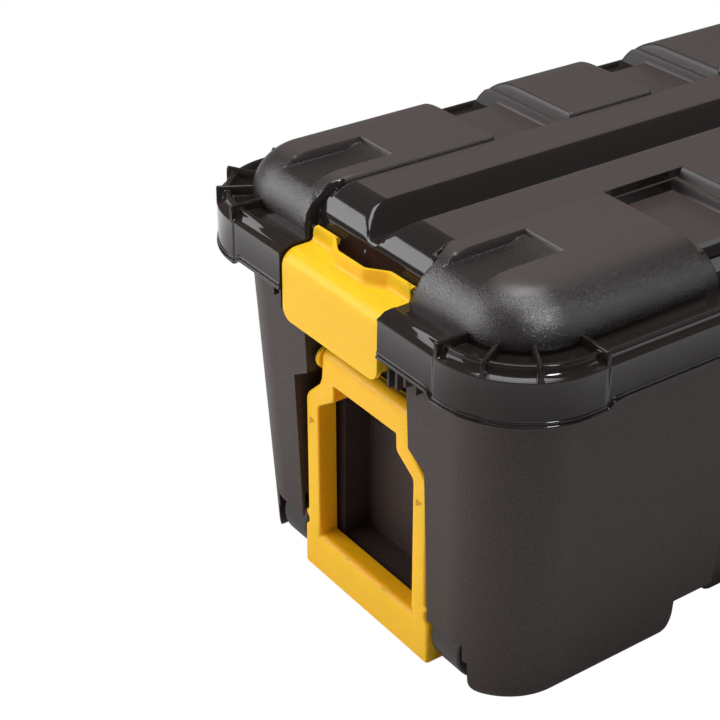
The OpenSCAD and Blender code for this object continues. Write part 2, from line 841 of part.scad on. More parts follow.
module tub() {
    color(plastic) difference() {
        union() {
            difference() {
                drafted(0, rim_top, 0, sole_r);
                foot_cut();
                difference() {
                    union() {
                        drafted(belly_z + tub_wall, rim_top + 1, tub_wall, sole_r);
                        foot_hollow();
                    }
                    both_ends() end_recess(tub_wall);
                    side_channel(tub_wall);
                    wheel_well(tub_wall);
                    both_ends() latch_catch_room();
                }
                both_ends() end_recess(0);
                side_channel(0);
                side_panels();
                wheel_well(0);
            }
            tub_rim();
            both_ends() latch_catch();
            both_ends() both_sides() catch_wing();
            middle_feet();
            axle_cheeks();
        }
        both_ends() tray_relief();
        both_ends() handle_bores();
        axle_bores();
        axle_counterbore();
    }
}

// Keeps the inner wall whole behind the latch catch.
module latch_catch_room() {
    translate([-hx, -recess_neck_hw - tub_wall, recess_top - 1])
        cube([recess_back + tub_wall, 2 * (recess_neck_hw + tub_wall), tub_wall + 1]);
}

// Clears the inner end of each axle for its cap.
module axle_counterbore() {
    y = wheel_y - wheel_w - well_gap - axle_cheek - 5;
    for (s = [-1, 1]) translate([-hx + wheel_px, s * y, wheel_r]) rotate([90, 0, 0])
        cylinder(d = axle_d + cap_rim + 5, h = 10 - 2 * eps, center = true);
}

// Side view of a latch from the pivot over the rim and down the front.
module latch_profile() {
    face = latch_face;
    back = face + latch_t;
    top = ridge_z + latch_rise;
    bend = latch_bend;
    union() {
        // Front plate with its rounded shoulder.
        difference() {
            union() {
                translate([face, latch_z]) square([latch_t, top - bend - latch_z]);
                translate([face + bend, top - bend]) circle(bend);
            }
            translate([face + bend, top - bend]) circle(bend - latch_t);
            translate([face + bend, latch_z]) square([2 * bend, 200]);
            translate([back, latch_z - 1]) square([2 * bend, top - bend - latch_z + 1]);
        }
        translate([face + bend, top - latch_t])
            square([latch_x - face - bend - 1, latch_t]);
        // Hook along the lower edge.
        polygon([[back - 1, latch_z], [back + 2, latch_z], [back + hook_reach, latch_z + hook_h - 2],
                 [back + hook_reach, latch_z + hook_h], [back - 1, latch_z + hook_h]]);
    }
}

module latch() {
    color(yellow) difference() {
        union() {
            intersection() {
                translate([0, latch_hw, 0]) rotate([90, 0, 0]) linear_extrude(2 * latch_hw) latch_profile();
                translate([0, 0, latch_z - 1]) linear_extrude(200) rear_edge(wall_t);
                // Plate corners are rounded as seen from the end.
                translate([-hx - clear, 0, 0]) rotate([90, 0, 90]) linear_extrude(2 * clear) union() {
                    translate([0, latch_z + clear]) round_rect(latch_hw, clear, latch_corner_r);
                    translate([-latch_hw, latch_z + clear]) square([2 * latch_hw, clear]);
                }
            }
            ears();
            // Short returns stiffen the sides below the skirt.
            for (s = [-1, 1]) translate([latch_face + 1, s * (latch_hw - rib_t / 2) - rib_t / 2, latch_z + 8])
                cube([return_l, rib_t, skirt_low - latch_z - 12]);
        }
        for (s = [-1, 1]) translate([latch_x, s * pin_y, latch_pivot_z]) rotate([90, 0, 0])
            cylinder(d = latch_pin_d + 2 * set_gap, h = latch_pin_l, center = true);
    }
}

// The rear edge of the latch in plan: far back at the two ears and further forward between them.
module rear_edge(back) {
    x1 = latch_x - ear_r + back;
    x0 = x1 - wall_mid_in;
    polygon([
        [-hx - clear, -latch_hw], [x1, -latch_hw], [x1, -ear_gap_hw], [x0, -wall_mid_hw],
        [x0, wall_mid_hw], [x1, ear_gap_hw], [x1, latch_hw], [-hx - clear, latch_hw]
    ]);
}

// A wall stands up along the rear edge and carries the two pivot eyes.
module ears() {
    for (s = [-1, 1]) translate([latch_x, s * (ear_hw + ear_gap_hw) / 2, latch_pivot_z]) rotate([90, 0, 0])
        cylinder(r = ear_r, h = ear_hw - ear_gap_hw, center = true);
    intersection() {
        translate([0, 0, ridge_z + latch_rise - latch_t])
            linear_extrude(wall_rise - latch_rise + latch_t) difference() {
                rear_edge(wall_t);
                rear_edge(0);
            }
        // Outer top corners of the ears are rounded as seen from the end.
        translate([-hx - clear, 0, 0]) rotate([90, 0, 90]) linear_extrude(2 * clear)
            translate([0, ridge_z + wall_rise - clear]) round_rect(latch_hw, clear, ear_corner_r);
    }
}

module latch_pins() {
    color(steel) for (s = [-1, 1])
        translate([latch_x, s * pin_y, latch_pivot_z]) rotate([90, 0, 0])
            cylinder(d = latch_pin_d, h = latch_pin_l, center = true);
}

// Outline of the handle seen from the end, without its opening.
module handle_outline() {
    neck_top = handle_pz + handle_t - handle_front;
    wide = arm_hw + bulge;
    half = [
        [-neck_hw, neck_top], [-neck_hw, handle_pz - neck_h], [-arm_hw, handle_pz - shoulder_h],
        [-arm_hw, nub_z + 2], [-wide, nub_z], [-wide, nub_z - 2], [-arm_hw, nub_z - 9],
        [-arm_hw, handle_low + grip_h + 3], [-wide, handle_low + grip_h - bulge],
        [-wide, handle_low + 6], [-arm_hw + 2, handle_low]
    ];
    other = [for (i = [len(half) - 1 : -1 : 0]) [-half[i][0], half[i][1]]];
    polygon(concat(half, other));
}

module handle_opening() {
    in_hw = arm_hw - arm_w;
    top_hw = neck_hw - arm_w - 1;
    top = handle_pz - opening_top;
    knee = handle_pz - opening_knee;
    low = handle_low + grip_h;
    polygon([
        [-top_hw, top], [-top_hw, knee], [-in_hw, knee - opening_bend], [-in_hw, low],
        [in_hw, low], [in_hw, knee - opening_bend], [top_hw, knee], [top_hw, top]
    ]);
}

// Loop handle: a deep frame, open at the back like all such mouldings.
module handle() {
    px = -hx + handle_px;
    front = px - handle_front;
    color(yellow) translate([px, 0, handle_pz]) rotate([0, -handle_lean, 0]) translate([-px, 0, -handle_pz])
        difference() {
            intersection() {
                translate([front, 0, 0]) rotate([90, 0, 90]) linear_extrude(handle_t) difference() {
                    handle_outline();
                    handle_opening();
                }
                handle_side(px, front, handle_edge_r);
            }
            handle_hollow(front + handle_wall);
            translate([px, 0, handle_pz]) rotate([90, 0, 0])
                cylinder(d = handle_pin_d + 2 * run_gap, h = big, center = true);
        }
}

// Side view of a handle: round about the pivot, with a rounded lower bar.
module handle_side(px, front, r) {
    translate([0, big / 2, 0]) rotate([90, 0, 0]) linear_extrude(big) union() {
        translate([px, handle_pz]) circle(handle_t - handle_front);
        translate([front, handle_low + r]) square([handle_t, handle_pz - handle_low - r]);
        translate([front + r, handle_low]) square([handle_t - 2 * r, 4 * r]);
        for (x = [r, handle_t - r]) translate([front + x, handle_low + r]) circle(r);
    }
}

// The hollow in the back of the arms and the grip.
module handle_hollow(x0) {
    arm_c = arm_hw - arm_w / 2;
    arm_in = arm_w - 2 * handle_wall;
    low = handle_low + grip_h + 6;
    for (s = [-1, 1]) translate([x0, s * arm_c - arm_in / 2, low])
        cube([handle_t, arm_in, handle_pz - arm_hollow_top - low]);
    for (s = [-1, 0, 1]) translate([x0, s * cell_pitch - cell_w / 2, handle_low + handle_wall + 3])
        cube([handle_t, cell_w, grip_h - 2 * handle_wall - 6]);
}

module handle_pin() {
    color(steel) translate([-hx + handle_px, 0, handle_pz]) rotate([90, 0, 0])
        cylinder(d = handle_pin_d, h = 2 * (recess_neck_hw + tub_wall), center = true);
}

// One wheel, drawn round its own axis, with a ribbed hub and a rounded tread.
module wheel() {
    hub_r = axle_d / 2 + hub_t;
    bore_r = axle_d / 2 + run_gap;
    spoke = wheel_r - tread_t - hub_r + 2;
    color(plastic) rotate([90, 0, 0]) {
        rotate_extrude() union() {
            translate([wheel_r - tread_t, -wheel_w / 2]) square([tread_t - tread_r, wheel_w]);
            translate([wheel_r - tread_t, -wheel_w / 2 + tread_r]) square([tread_t, wheel_w - 2 * tread_r]);
            for (s = [-1, 1]) translate([wheel_r - tread_r, s * (wheel_w / 2 - tread_r)])
                circle(tread_r, $fn = 32);
            translate([bore_r, -wheel_w / 2]) square([hub_r - bore_r, wheel_w]);
            translate([hub_r - 1, -web_t / 2]) square([spoke, web_t]);
        }
        for (a = [0 : 60 : 300]) rotate([0, 0, a])
            translate([hub_r - 1, -rib_t / 2, -wheel_w / 2 + web_t])
                cube([spoke, rib_t, wheel_w - 2 * web_t]);
    }
}

module wheel_at(s) {
    translate([-hx + wheel_px, s * (wheel_y - wheel_w / 2), wheel_r]) wheel();
}

// An axle runs from the outer cheek through the wheel to the inner one.
module axle_at(s) {
    y1 = wheel_y + well_gap + axle_cheek;
    y0 = wheel_y - wheel_w - well_gap - axle_cheek - 3;
    color(steel) translate([-hx + wheel_px, s * (y0 + y1) / 2, wheel_r]) rotate([90, 0, 0])
        cylinder(d = axle_d, h = y1 - y0, center = true);
}

module axle_caps() {
    y = wheel_y - wheel_w - well_gap - axle_cheek - seat_gap - cap_t / 2;
    color(steel) for (s = [-1, 1]) translate([-hx + wheel_px, s * y, wheel_r]) rotate([90, 0, 0])
        difference() {
            cylinder(d = axle_d + cap_rim, h = cap_t, center = true);
            cylinder(d = axle_d, h = cap_t + 1, center = true);
        }
}

tub();
lid();
end_of_trunk(false) latch();  // latch_near
end_of_trunk(true) latch();  // latch_far
end_of_trunk(false) latch_pins();  // latch_pins_near
end_of_trunk(true) latch_pins();  // latch_pins_far
end_of_trunk(false) handle();  // handle_near
end_of_trunk(true) handle();  // handle_far
end_of_trunk(false) handle_pin();  // handle_pin_near
end_of_trunk(true) handle_pin();  // handle_pin_far
wheel_at(1);  // wheel_left
wheel_at(-1);  // wheel_right
axle_at(1);  // axle_left
axle_at(-1);  // axle_right
axle_caps();
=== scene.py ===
import math

import bmesh
import bpy
from mathutils import Matrix, Vector


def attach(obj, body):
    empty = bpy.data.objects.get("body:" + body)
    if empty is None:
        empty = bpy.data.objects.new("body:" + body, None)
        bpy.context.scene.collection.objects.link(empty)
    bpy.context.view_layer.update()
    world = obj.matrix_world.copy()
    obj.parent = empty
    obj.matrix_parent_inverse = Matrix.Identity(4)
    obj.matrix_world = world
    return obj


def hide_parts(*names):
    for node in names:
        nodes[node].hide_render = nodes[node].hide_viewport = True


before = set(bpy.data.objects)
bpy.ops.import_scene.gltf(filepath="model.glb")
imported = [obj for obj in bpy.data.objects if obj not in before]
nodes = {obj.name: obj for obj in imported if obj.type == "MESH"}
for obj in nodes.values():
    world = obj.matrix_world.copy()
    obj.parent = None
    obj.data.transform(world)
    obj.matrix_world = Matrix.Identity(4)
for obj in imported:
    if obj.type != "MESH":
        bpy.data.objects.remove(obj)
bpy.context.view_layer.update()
mm = 0.001


# Camera, with its place in millimetres and its turns in degrees
cameraSetup = {
    "place": (-1206.7, -1153.7, 1132.4),
    "yaw": 53.70, "pitch": 30.36, "roll": 0.71,
    "focalPixels": 1770.5, "centreAcross": 372.5, "imageWidth": 720.0,
    "sensorWidth": 36.0,
}


def makeCamera(setup):
    yaw, pitch, roll = (math.radians(setup[k]) for k in ("yaw", "pitch", "roll"))
    level = math.cos(pitch)
    ahead = Vector((math.cos(yaw) * level, math.sin(yaw) * level, -math.sin(pitch)))
    right = Vector((math.sin(yaw), -math.cos(yaw), 0.0))
    up = right.cross(ahead)
    right, up = (math.cos(roll) * right + math.sin(roll) * up,
                 -math.sin(roll) * right + math.cos(roll) * up)
    data = bpy.data.cameras.new("photoCamera")
    data.sensor_width = setup["sensorWidth"]
    data.lens = setup["sensorWidth"] * setup["focalPixels"] / setup["imageWidth"]
    data.shift_x = -(setup["centreAcross"] - setup["imageWidth"] / 2) / setup["imageWidth"]
    camera = bpy.data.objects.new("photoCamera", data)
    bpy.context.scene.collection.objects.link(camera)
    turn = Matrix((right, up, -ahead)).transposed().to_4x4()
    camera.matrix_world = Matrix.Translation(Vector(setup["place"]) * mm) @ turn
    bpy.context.scene.camera = camera


makeCamera(cameraSetup)
print("camera made")


# Each plastic has a colour, a gloss and a moulded grain whose size is in millimetres.
# Above the satin height, where one is given, the grain fades to a smoother top.
# Glow is the share of the light that sinks in and comes out again.
plastics = {
    "tubPlastic": {
        "colour": (0.030, 0.0195, 0.0175), "rough": 0.48, "shine": 0.28,
        "grain": 1.7, "depth": 0.30, "speckle": 0.35,
    },
    "wheelPlastic": {
        "colour": (0.022, 0.018, 0.018), "rough": 0.40, "shine": 0.4,
        "grain": 1.8, "depth": 0.10, "speckle": 0.1,
    },
    "domePlastic": {
        "colour": (0.015, 0.0118, 0.0112), "rough": 0.27, "shine": 0.60,
        "grain": 1.35, "depth": 0.55, "speckle": 0.8,
        "satin": 444.4, "satinRough": 0.40, "satinColour": (0.052, 0.039, 0.036),
    },
    "polishedPlastic": {
        "colour": (0.014, 0.0112, 0.0106), "rough": 0.09, "shine": 0.34,
        "grain": 6.0, "depth": 0.02, "speckle": 0.0,
    },
    "satinPlastic": {
        "colour": (0.058, 0.045, 0.041), "rough": 0.28, "shine": 0.34,
        "grain": 1.2, "depth": 0.04, "speckle": 0.03,
    },
    "rimPlastic": {
        "colour": (0.016, 0.0118, 0.0105), "rough": 0.09, "shine": 0.27,
        "grain": 6.0, "depth": 0.02, "speckle": 0.0,
    },
    "yellowPlastic": {
        "colour": (0.84, 0.455, 0.010), "rough": 0.44, "shine": 0.26,
        "grain": 1.4, "depth": 0.08, "speckle": 0.05, "glow": 0.45,
    },
    # Painted bounce light: a warmer yellow for the faces inside the handle's opening.
    "paintedBounceYellow": {
        "colour": (0.88, 0.39, 0.005), "rough": 0.42, "shine": 0.24,
        "grain": 1.4, "depth": 0.08, "speckle": 0.05, "glow": 0.45,
    },
    # Painted shade: the darker yellow of the handle's dented marks.
    "paintedDentShade": {
        "colour": (0.55, 0.25, 0.004), "rough": 0.5, "shine": 0.3,
        "grain": 1.4, "depth": 0.05, "speckle": 0.05,
    },
    "pinSteel": {
        "colour": (0.10, 0.10, 0.10), "rough": 0.35, "shine": 0.5, "metal": 1.0,
        "grain": 1.0, "depth": 0.05, "speckle": 0.1,
    },
}
# What the plastics share. Relief and glow scale are in metres, the satin fade in millimetres.
grainLook = {
    "detail": 2.0, "relief": 0.0011,
    "noiseLow": 0.36, "noiseHigh": 0.66, "darker": 0.6, "lighter": 1.4,
    "glowReach": (1.0, 0.35, 0.04), "glowScale": 0.012,
    "satinFade": 7.0, "satinDepth": 0.06,
}


def newMaterial(name):
    material = bpy.data.materials.new(name)
    material.use_nodes = True
    tree = material.node_tree
    return material, tree, tree.nodes["Principled BSDF"]


def addNode(tree, kind, values):
    node = tree.nodes.new(kind)
    setInputs(node, values)
    return node


def setInputs(node, values):
    for name, value in values.items():
        node.inputs[name].default_value = value


def plasticMaterial(name, look, g):
    material, tree, shader = newMaterial(name)
    join = tree.links.new
    setInputs(shader, {
        "Base Color": (*look["colour"], 1.0), "Roughness": look["rough"],
        "Specular IOR Level": look["shine"], "Metallic": look.get("metal", 0.0),
    })
    place = addNode(tree, "ShaderNodeTexCoord", {})
    noise = addNode(tree, "ShaderNodeTexNoise", {"Scale": 1000.0 / look["grain"], "Detail": g["detail"]})
    bump = addNode(tree, "ShaderNodeBump", {"Strength": look["depth"], "Distance": g["relief"]})
    dots = addNode(tree, "ShaderNodeMapRange", {
        "From Min": g["noiseLow"], "From Max": g["noiseHigh"],
        "To Min": 1.0 - g["darker"] * look["speckle"], "To Max": 1.0 + g["lighter"] * look["speckle"],
    })
    shade = tree.nodes.new("ShaderNodeVectorMath")
    shade.operation = "SCALE"
    shade.inputs[0].default_value = look["colour"]
    join(place.outputs["Object"], noise.inputs["Vector"])
    join(noise.outputs["Fac"], bump.inputs["Height"])
    join(noise.outputs["Fac"], dots.inputs["Value"])
    join(dots.outputs[0], shade.inputs["Scale"])
    join(bump.outputs["Normal"], shader.inputs["Normal"])
    join(shade.outputs[0], shader.inputs["Base Color"])
    if "glow" in look:
        setInputs(shader, {
            "Subsurface Weight": look["glow"], "Subsurface Radius": g["glowReach"],
            "Subsurface Scale": g["glowScale"],
        })
    if "satin" in look:
        addSatin(tree, look, g, place, bump, shade, shader)
    return material


def addSatin(tree, look, g, place, bump, shade, shader):
    join = tree.links.new
    split = tree.nodes.new("ShaderNodeSeparateXYZ")
    level = addNode(tree, "ShaderNodeMapRange", {
        "From Min": (look["satin"] - g["satinFade"]) * mm, "From Max": look["satin"] * mm,
    })
    depth = addNode(tree, "ShaderNodeMapRange", {"To Min": look["depth"], "To Max": g["satinDepth"]})
    rough = addNode(tree, "ShaderNodeMapRange", {"To Min": look["rough"], "To Max": look["satinRough"]})
    tint = tree.nodes.new("ShaderNodeMix")
    tint.data_type = "RGBA"
    tint.inputs["B"].default_value = (*look["satinColour"], 1.0)
    join(place.outputs["Object"], split.inputs[0])
    join(split.outputs["Z"], level.inputs["Value"])
    join(shade.outputs[0], tint.inputs["A"])
    join(level.outputs[0], depth.inputs["Value"])
    join(level.outputs[0], rough.inputs["Value"])
    join(level.outputs[0], tint.inputs["Factor"])
    join(depth.outputs[0], bump.inputs["Strength"])
    join(rough.outputs[0], shader.inputs["Roughness"])
    join(tint.outputs["Result"], shader.inputs["Base Color"])


materials = {name: plasticMaterial(name, look, grainLook) for name, look in plastics.items()}

# The first entry whose word is in a CAD piece's name gives its plastic.
finishes = (
    ("tub", "tubPlastic"), ("lid", "polishedPlastic"), ("pin", "pinSteel"), ("axle", "pinSteel"),
    ("wheel", "wheelPlastic"), ("", "yellowPlastic"),
)
for name, node in nodes.items():
    plastic = next(plastic for word, plastic in finishes if word in name)
    node.data.materials.clear()
    node.data.materials.append(materials[plastic])
print("materials made")


# The CAD pieces get the rounded edges of mouldings, as a width in millimetres and a count of steps.
edgeRound = {"tub": (2.2, 4), "wheel_left": (1.0, 3), "wheel_right": (1.0, 3)}
flatAngle = 1.5
edgeAngle = 32.0


def bevelEdges(piece, width, segments):
    bevel = piece.modifiers.new("edges", "BEVEL")
    bevel.width = width * mm
    bevel.segments = segments
    bevel.limit_method = "ANGLE"
    bevel.angle_limit = math.radians(edgeAngle)
    bevel.harden_normals = True
    bevel.miter_outer = "MITER_ARC"


for name, (width, segments) in edgeRound.items():
    nodes[name].data.shade_smooth()
    flatten = nodes[name].modifiers.new("flatten", "DECIMATE")
    flatten.decimate_type = "DISSOLVE"
    flatten.angle_limit = math.radians(flatAngle)
    bevelEdges(nodes[name], width, segments)
print("edges rounded")


# Helpers for building meshes, in millimetres and degrees
def smoothMin(a, b, k):
    h = max(k - abs(a - b), 0.0) / k
    return min(a, b) - h * h * k * 0.25


def smoothMax(a, b, k):
    return -smoothMin(-a, -b, k)


def clamp(value, low=0.0, high=1.0):
    return max(low, min(high, value))


def easeStep(value, start, end):
    t = clamp((value - start) / (end - start))
    return t * t * (3.0 - 2.0 * t)


def direction(angle):
    return math.cos(math.radians(angle)), math.sin(math.radians(angle))


# Points round a centre, with one radius across and one upwards.
def arc(centre, across, up, angles):
    turns = [direction(angle) for angle in angles]
    return [(centre[0] + across * cosine, centre[1] + up * sine) for cosine, sine in turns]


def shifted(place, offsets):
    return [(place[0] + across, place[1] + up) for across, up in offsets]


def addMesh(points, faces, extra):
    start = len(points)
    points += extra[0]
    faces += [tuple(start + k for k in face) for face in extra[1]]


def barMesh(start, end, radius, sides):
    axis = (Vector(end) - Vector(start)).normalized()
    across = axis.orthogonal().normalized()
    other = axis.cross(across)
    points = []
    for place in (Vector(start), Vector(end)):
        for k in range(sides):
            a = 2 * math.pi * k / sides
            points.append(tuple(place + radius * (math.cos(a) * across + math.sin(a) * other)))
    faces = [tuple(reversed(range(sides))), tuple(range(sides, 2 * sides))]
    faces += [(k, (k + 1) % sides, sides + (k + 1) % sides, sides + k) for k in range(sides)]
    return points, faces


def boxMesh(low, high):
    xs, ys, zs = (sorted((a, b)) for a, b in zip(low, high))
    points = [(x, y, z) for x in xs for y in ys for z in zs]
    return points, [(0, 1, 3, 2), (4, 6, 7, 5), (0, 4, 5, 1), (2, 3, 7, 6), (0, 2, 6, 4), (1, 5, 7, 3)]


def farEnd(points):
    return [(-x, -y, z) for x, y, z in points]


# A closed piece is welded at seams up to weldReach, in metres, and its faces are turned outward.
weldReach = 0.00001


def meshPiece(name, points, faces, plastic, body, sharpAngle=edgeAngle, closed=False):
    shape = bmesh.new()
    corners = [shape.verts.new(Vector(p) * mm) for p in points]
    for face in faces:
        shape.faces.new([corners[i] for i in face])
    if closed:
        bmesh.ops.remove_doubles(shape, verts=shape.verts, dist=weldReach)
        bmesh.ops.recalc_face_normals(shape, faces=shape.faces)
    shape.normal_update()
    mesh = bpy.data.meshes.new(name)
    shape.to_mesh(mesh)
    shape.free()
    mesh.materials.append(materials[plastic])
    mesh.shade_smooth()
    mesh.set_sharp_from_angle(angle=math.radians(sharpAngle))
    piece = bpy.data.objects.new(name, mesh)
    bpy.context.scene.collection.objects.link(piece)
    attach(piece, body)
    return piece


# Lid top: one moulded skin, drawn as a height over the plan.
lidShape = {
    "halfLength": 379.0, "halfWidth": 220.0, "planRadius": 65.0, "thickness": 3.4, "sharpAngle": 38.0,
    "base": 395.0, "top": 446.0, "trayHalf": 77.0, "trayDrop": 7.5,
    # Domes, with a rolled outer edge, a step at each end and a wall beside the plateau
    "domeStart": 145.0, "midDomeEnd": 67.0, "roundReach": 58.0, "roundPower": 2.1, "outerRound": 6.0,
    "stepSlope": 4.0, "stepRound": 1.2, "ledge": 433.0, "ledgeWidth": 8.5, "riseSlope": 5.0,
    "crownSpare": 0.6, "crownRound": 13.0, "endRound": 1.0,
    "wallReach": 72.0, "wallFoot": 73.0, "bayHalf": 80.0, "bayFrom": 338.0, "bayTo": 360.0, "wallSlope": 8.0,
    "wallRound": 12.0, "wallRoundMore": 18.0, "wallRoundFrom": 310.0, "wallRoundTo": 355.0,
    # Finger pockets in the corner domes
    "pocketNear": 100.0, "pocketFar": 149.0, "pocketBack": 268.0, "pocketFloor": 435.0, "pocketSlope": 7.0,
    "pocketRound": 1.6, "pocketRamp": 290.0, "rampSlope": 0.22, "rampRound": 3.0,
    # Valleys between the domes
    "valleyFloor": 423.0, "valleyEdge": 184.0, "valleySide": 77.0, "valleyReach": 4.0,
    "valleySlope": 12.0, "valleyRound": 10.0, "valleyFootRound": 1.5,
    # Plateau with its groove and its rolled-over end
    "plateauTop": 441.0, "plateauHalf": 76.0, "plateauLedge": 80.0, "plateauReach": 88.0,
    "plateauCrease": 326.0, "plateauEnd": 362.0, "plateauEndHeight": 414.0, "plateauEndSlope": 12.0,
    "sideSlope": 8.0, "sideRound": 1.0, "shoulderRound": 1.5,
    "grooveTop": 26.0, "grooveLow": 9.0, "grooveBottom": 5.0, "grooveKnee": 422.0, "grooveFloor": 417.0,
    "grooveRound": 3.0, "kneeRound": 2.0,
}
# Lines of the lid's grid, closer where its surface bends. Some are counted from the edge, from a
# dome's end or from a pocket's side. The inside takes one in so many of them.
lidGrid = {
    "fromEdge": [
        0, .15, .5, 1.2, 2.5, 4.5, 7, 10, 13, 15, 15.6, 16.2, 17, 17.8, 19, 22, 23.2, 24, 24.8, 26, 29, 32,
        35, 38, 41, 43.5, 44, 44.6, 45.5, 47, 49, 51, 53, 55, 57.5, 60, 62.5, 65,
    ],
    "fromDomeEnd": [
        -8, -7, -5.5, -4, -2, -1, -.4, .2, .8, 1.4, 2, 2.6, 3.4, 5, 6.5, 7.5, 8.3, 9, 10, 11.2, 12.5, 14,
        15.5, 17, 19, 22, 26, 32,
    ],
    "fromPocketSide": [-1.6, -1, -.5, 0, .5, 1, 2],
    "across": [
        0, 20, 38, 88, 106, 124, 195, 220, 245, 258, 264, 265.4, 266.2, 266.8, 267.4, 268, 269, 271, 275,
        282, 287, 290, 293, 300,
    ],
    "along": [
        0, 3, 5, 6, 7, 8, 9, 10, 12, 16, 20, 23, 25, 26, 27, 29, 34, 45, 60, 72, 74, 75, 75.6, 76, 76.4,
        76.8, 77.2, 77.8, 78.4, 79, 79.5, 80, 80.5, 81, 81.5, 82, 83, 84, 86, 89, 93,
    ],
    "alongOuter": [108, 116, 125, 133, 141],
    "insideSteps": 3, "insideAlong": 2,
}


def domeHeight(x, y, edge, s):
    t, power = clamp(edge / s["roundReach"]), s["roundPower"]
    outer = s["base"] + (s["top"] - s["base"]) * (1.0 - (1.0 - t) ** power) ** (1.0 / power)
    inwards = max(x - s["domeStart"], s["midDomeEnd"] - x)
    step = smoothMin(s["valleyFloor"] + s["stepSlope"] * inwards, s["ledge"], s["stepRound"])
    rise = s["ledge"] + s["riseSlope"] * (inwards - s["ledgeWidth"])
    crown = smoothMin(rise, s["top"] + s["crownSpare"], s["crownRound"])
    end = smoothMax(step, crown, s["endRound"])
    foot = s["wallFoot"] + (s["bayHalf"] - s["wallFoot"]) * easeStep(x, s["bayFrom"], s["bayTo"])
    wall = s["base"] + s["wallSlope"] * (y - foot)
    wallRound = s["wallRound"] + s["wallRoundMore"] * easeStep(x, s["wallRoundFrom"], s["wallRoundTo"])
    dome = smoothMin(smoothMin(outer, end, s["outerRound"]), wall, wallRound)
    if x < s["domeStart"]:
        return dome
    ramp = s["pocketFloor"] + (s["pocketRamp"] - x) * s["rampSlope"]
    floor = smoothMax(s["pocketFloor"], ramp, s["rampRound"])
    outside = max(y - s["pocketFar"], s["pocketNear"] - y, s["pocketBack"] - x)
    pocket = smoothMax(floor, s["pocketFloor"] + s["pocketSlope"] * outside, s["pocketRound"])
    return smoothMin(dome, pocket, s["pocketRound"])


def plateauHeight(x, y, s):
    run, drop = s["plateauEnd"] - s["plateauCrease"], s["plateauTop"] - s["plateauEndHeight"]
    radius = (run * run + drop * drop) / (2.0 * drop)
    over = clamp(x - s["plateauCrease"], 0.0, run)
    crown = s["plateauTop"] - radius + math.sqrt(radius * radius - over * over)
    crown -= s["plateauEndSlope"] * max(x - s["plateauEnd"], 0.0)
    knee = (s["grooveKnee"] - s["grooveFloor"]) / (s["grooveLow"] - s["grooveBottom"])
    lean = (s["plateauTop"] - s["grooveKnee"]) / (s["grooveTop"] - s["grooveLow"])
    rise = s["grooveFloor"] + knee * (y - s["grooveBottom"])
    groove = smoothMax(s["grooveFloor"], rise, s["grooveRound"])
    if y > s["grooveBottom"]:
        groove = smoothMin(groove, s["grooveKnee"] + lean * (y - s["grooveLow"]), s["kneeRound"])
    top = smoothMin(crown, groove, s["grooveRound"])
    side = s["plateauTop"] - s["sideSlope"] * (y - s["plateauHalf"])
    ledge = smoothMin(s["ledge"], s["ledge"] - s["sideSlope"] * (y - s["plateauLedge"]), s["sideRound"])
    return smoothMin(top, smoothMax(side, ledge, s["sideRound"]), s["shoulderRound"])


def lidHeight(x, y, edge, s):
    x, y = abs(x), abs(y)
    height = s["base"]
    if x > s["plateauEnd"] and y < s["trayHalf"]:
        height -= s["trayDrop"]
    if y > s["wallReach"]:
        height = max(height, domeHeight(x, y, edge, s))
    if y < s["plateauReach"]:
        height = max(height, plateauHeight(x, y, s))
    inValley = s["midDomeEnd"] - s["valleyReach"] < x < s["domeStart"] + s["valleyReach"]
    if inValley and y > s["valleySide"]:
        rise = s["base"] + s["valleySlope"] * (s["valleyEdge"] - y)
        valley = smoothMin(rise, s["valleyFloor"], s["valleyRound"])
        height = smoothMax(height, valley, s["valleyFootRound"])
    return height


def gridLines(marks, limit):
    lines = sorted({round(m, 3) for m in marks if 0.0 <= m <= limit})
    return [-m for m in reversed(lines) if m > 0] + lines


# A grid over the plan, bent round the plan's corners. The inside lies lower by inset and faces down.
def lidSkin(s, g, inset):
    a, b, r = s["halfLength"] - inset, s["halfWidth"] - inset, s["planRadius"] - inset
    edgeSteps, endSteps = g["fromEdge"], g["fromDomeEnd"]
    if inset:
        edgeSteps, endSteps = edgeSteps[::g["insideSteps"]], endSteps[::g["insideSteps"]]
    edgeSteps = [e for e in edgeSteps if e < r] + [r]
    across = [a - e for e in edgeSteps] + g["across"]
    across += [s["midDomeEnd"] - e for e in endSteps] + [s["domeStart"] + e for e in endSteps]
    along = [b - e for e in edgeSteps] + g["along"]
    along += [s["pocketNear"] + e for e in g["fromPocketSide"]]
    along += [s["pocketFar"] - e for e in g["fromPocketSide"]] + g["alongOuter"]
    if inset:
        along = along[::g["insideAlong"]] + [b - r]
    xs, ys = gridLines(across, a), gridLines(along, b)
    points = []
    for gx in xs:
        for gy in ys:
            px, py = abs(gx) - (a - r), abs(gy) - (b - r)
            x, y, edge = abs(gx), abs(gy), min(a - abs(gx), b - abs(gy))
            if px > 0 and py > 0:
                big, eighths = (px, py / px) if px >= py else (py, 2.0 - px / py)
                x = a - r + big * math.cos(eighths * math.pi / 4)
                y = b - r + big * math.sin(eighths * math.pi / 4)
                edge = r - big
            points.append((math.copysign(x, gx), math.copysign(y, gy), lidHeight(x, y, edge, s) - inset))
    rows = len(ys)
    faces = []
    for i in range(len(xs) - 1):
        for j in range(rows - 1):
            quad = (i * rows + j, (i + 1) * rows + j, (i + 1) * rows + j + 1, i * rows + j + 1)
            faces.append(quad[::-1] if inset else quad)
    return points, faces


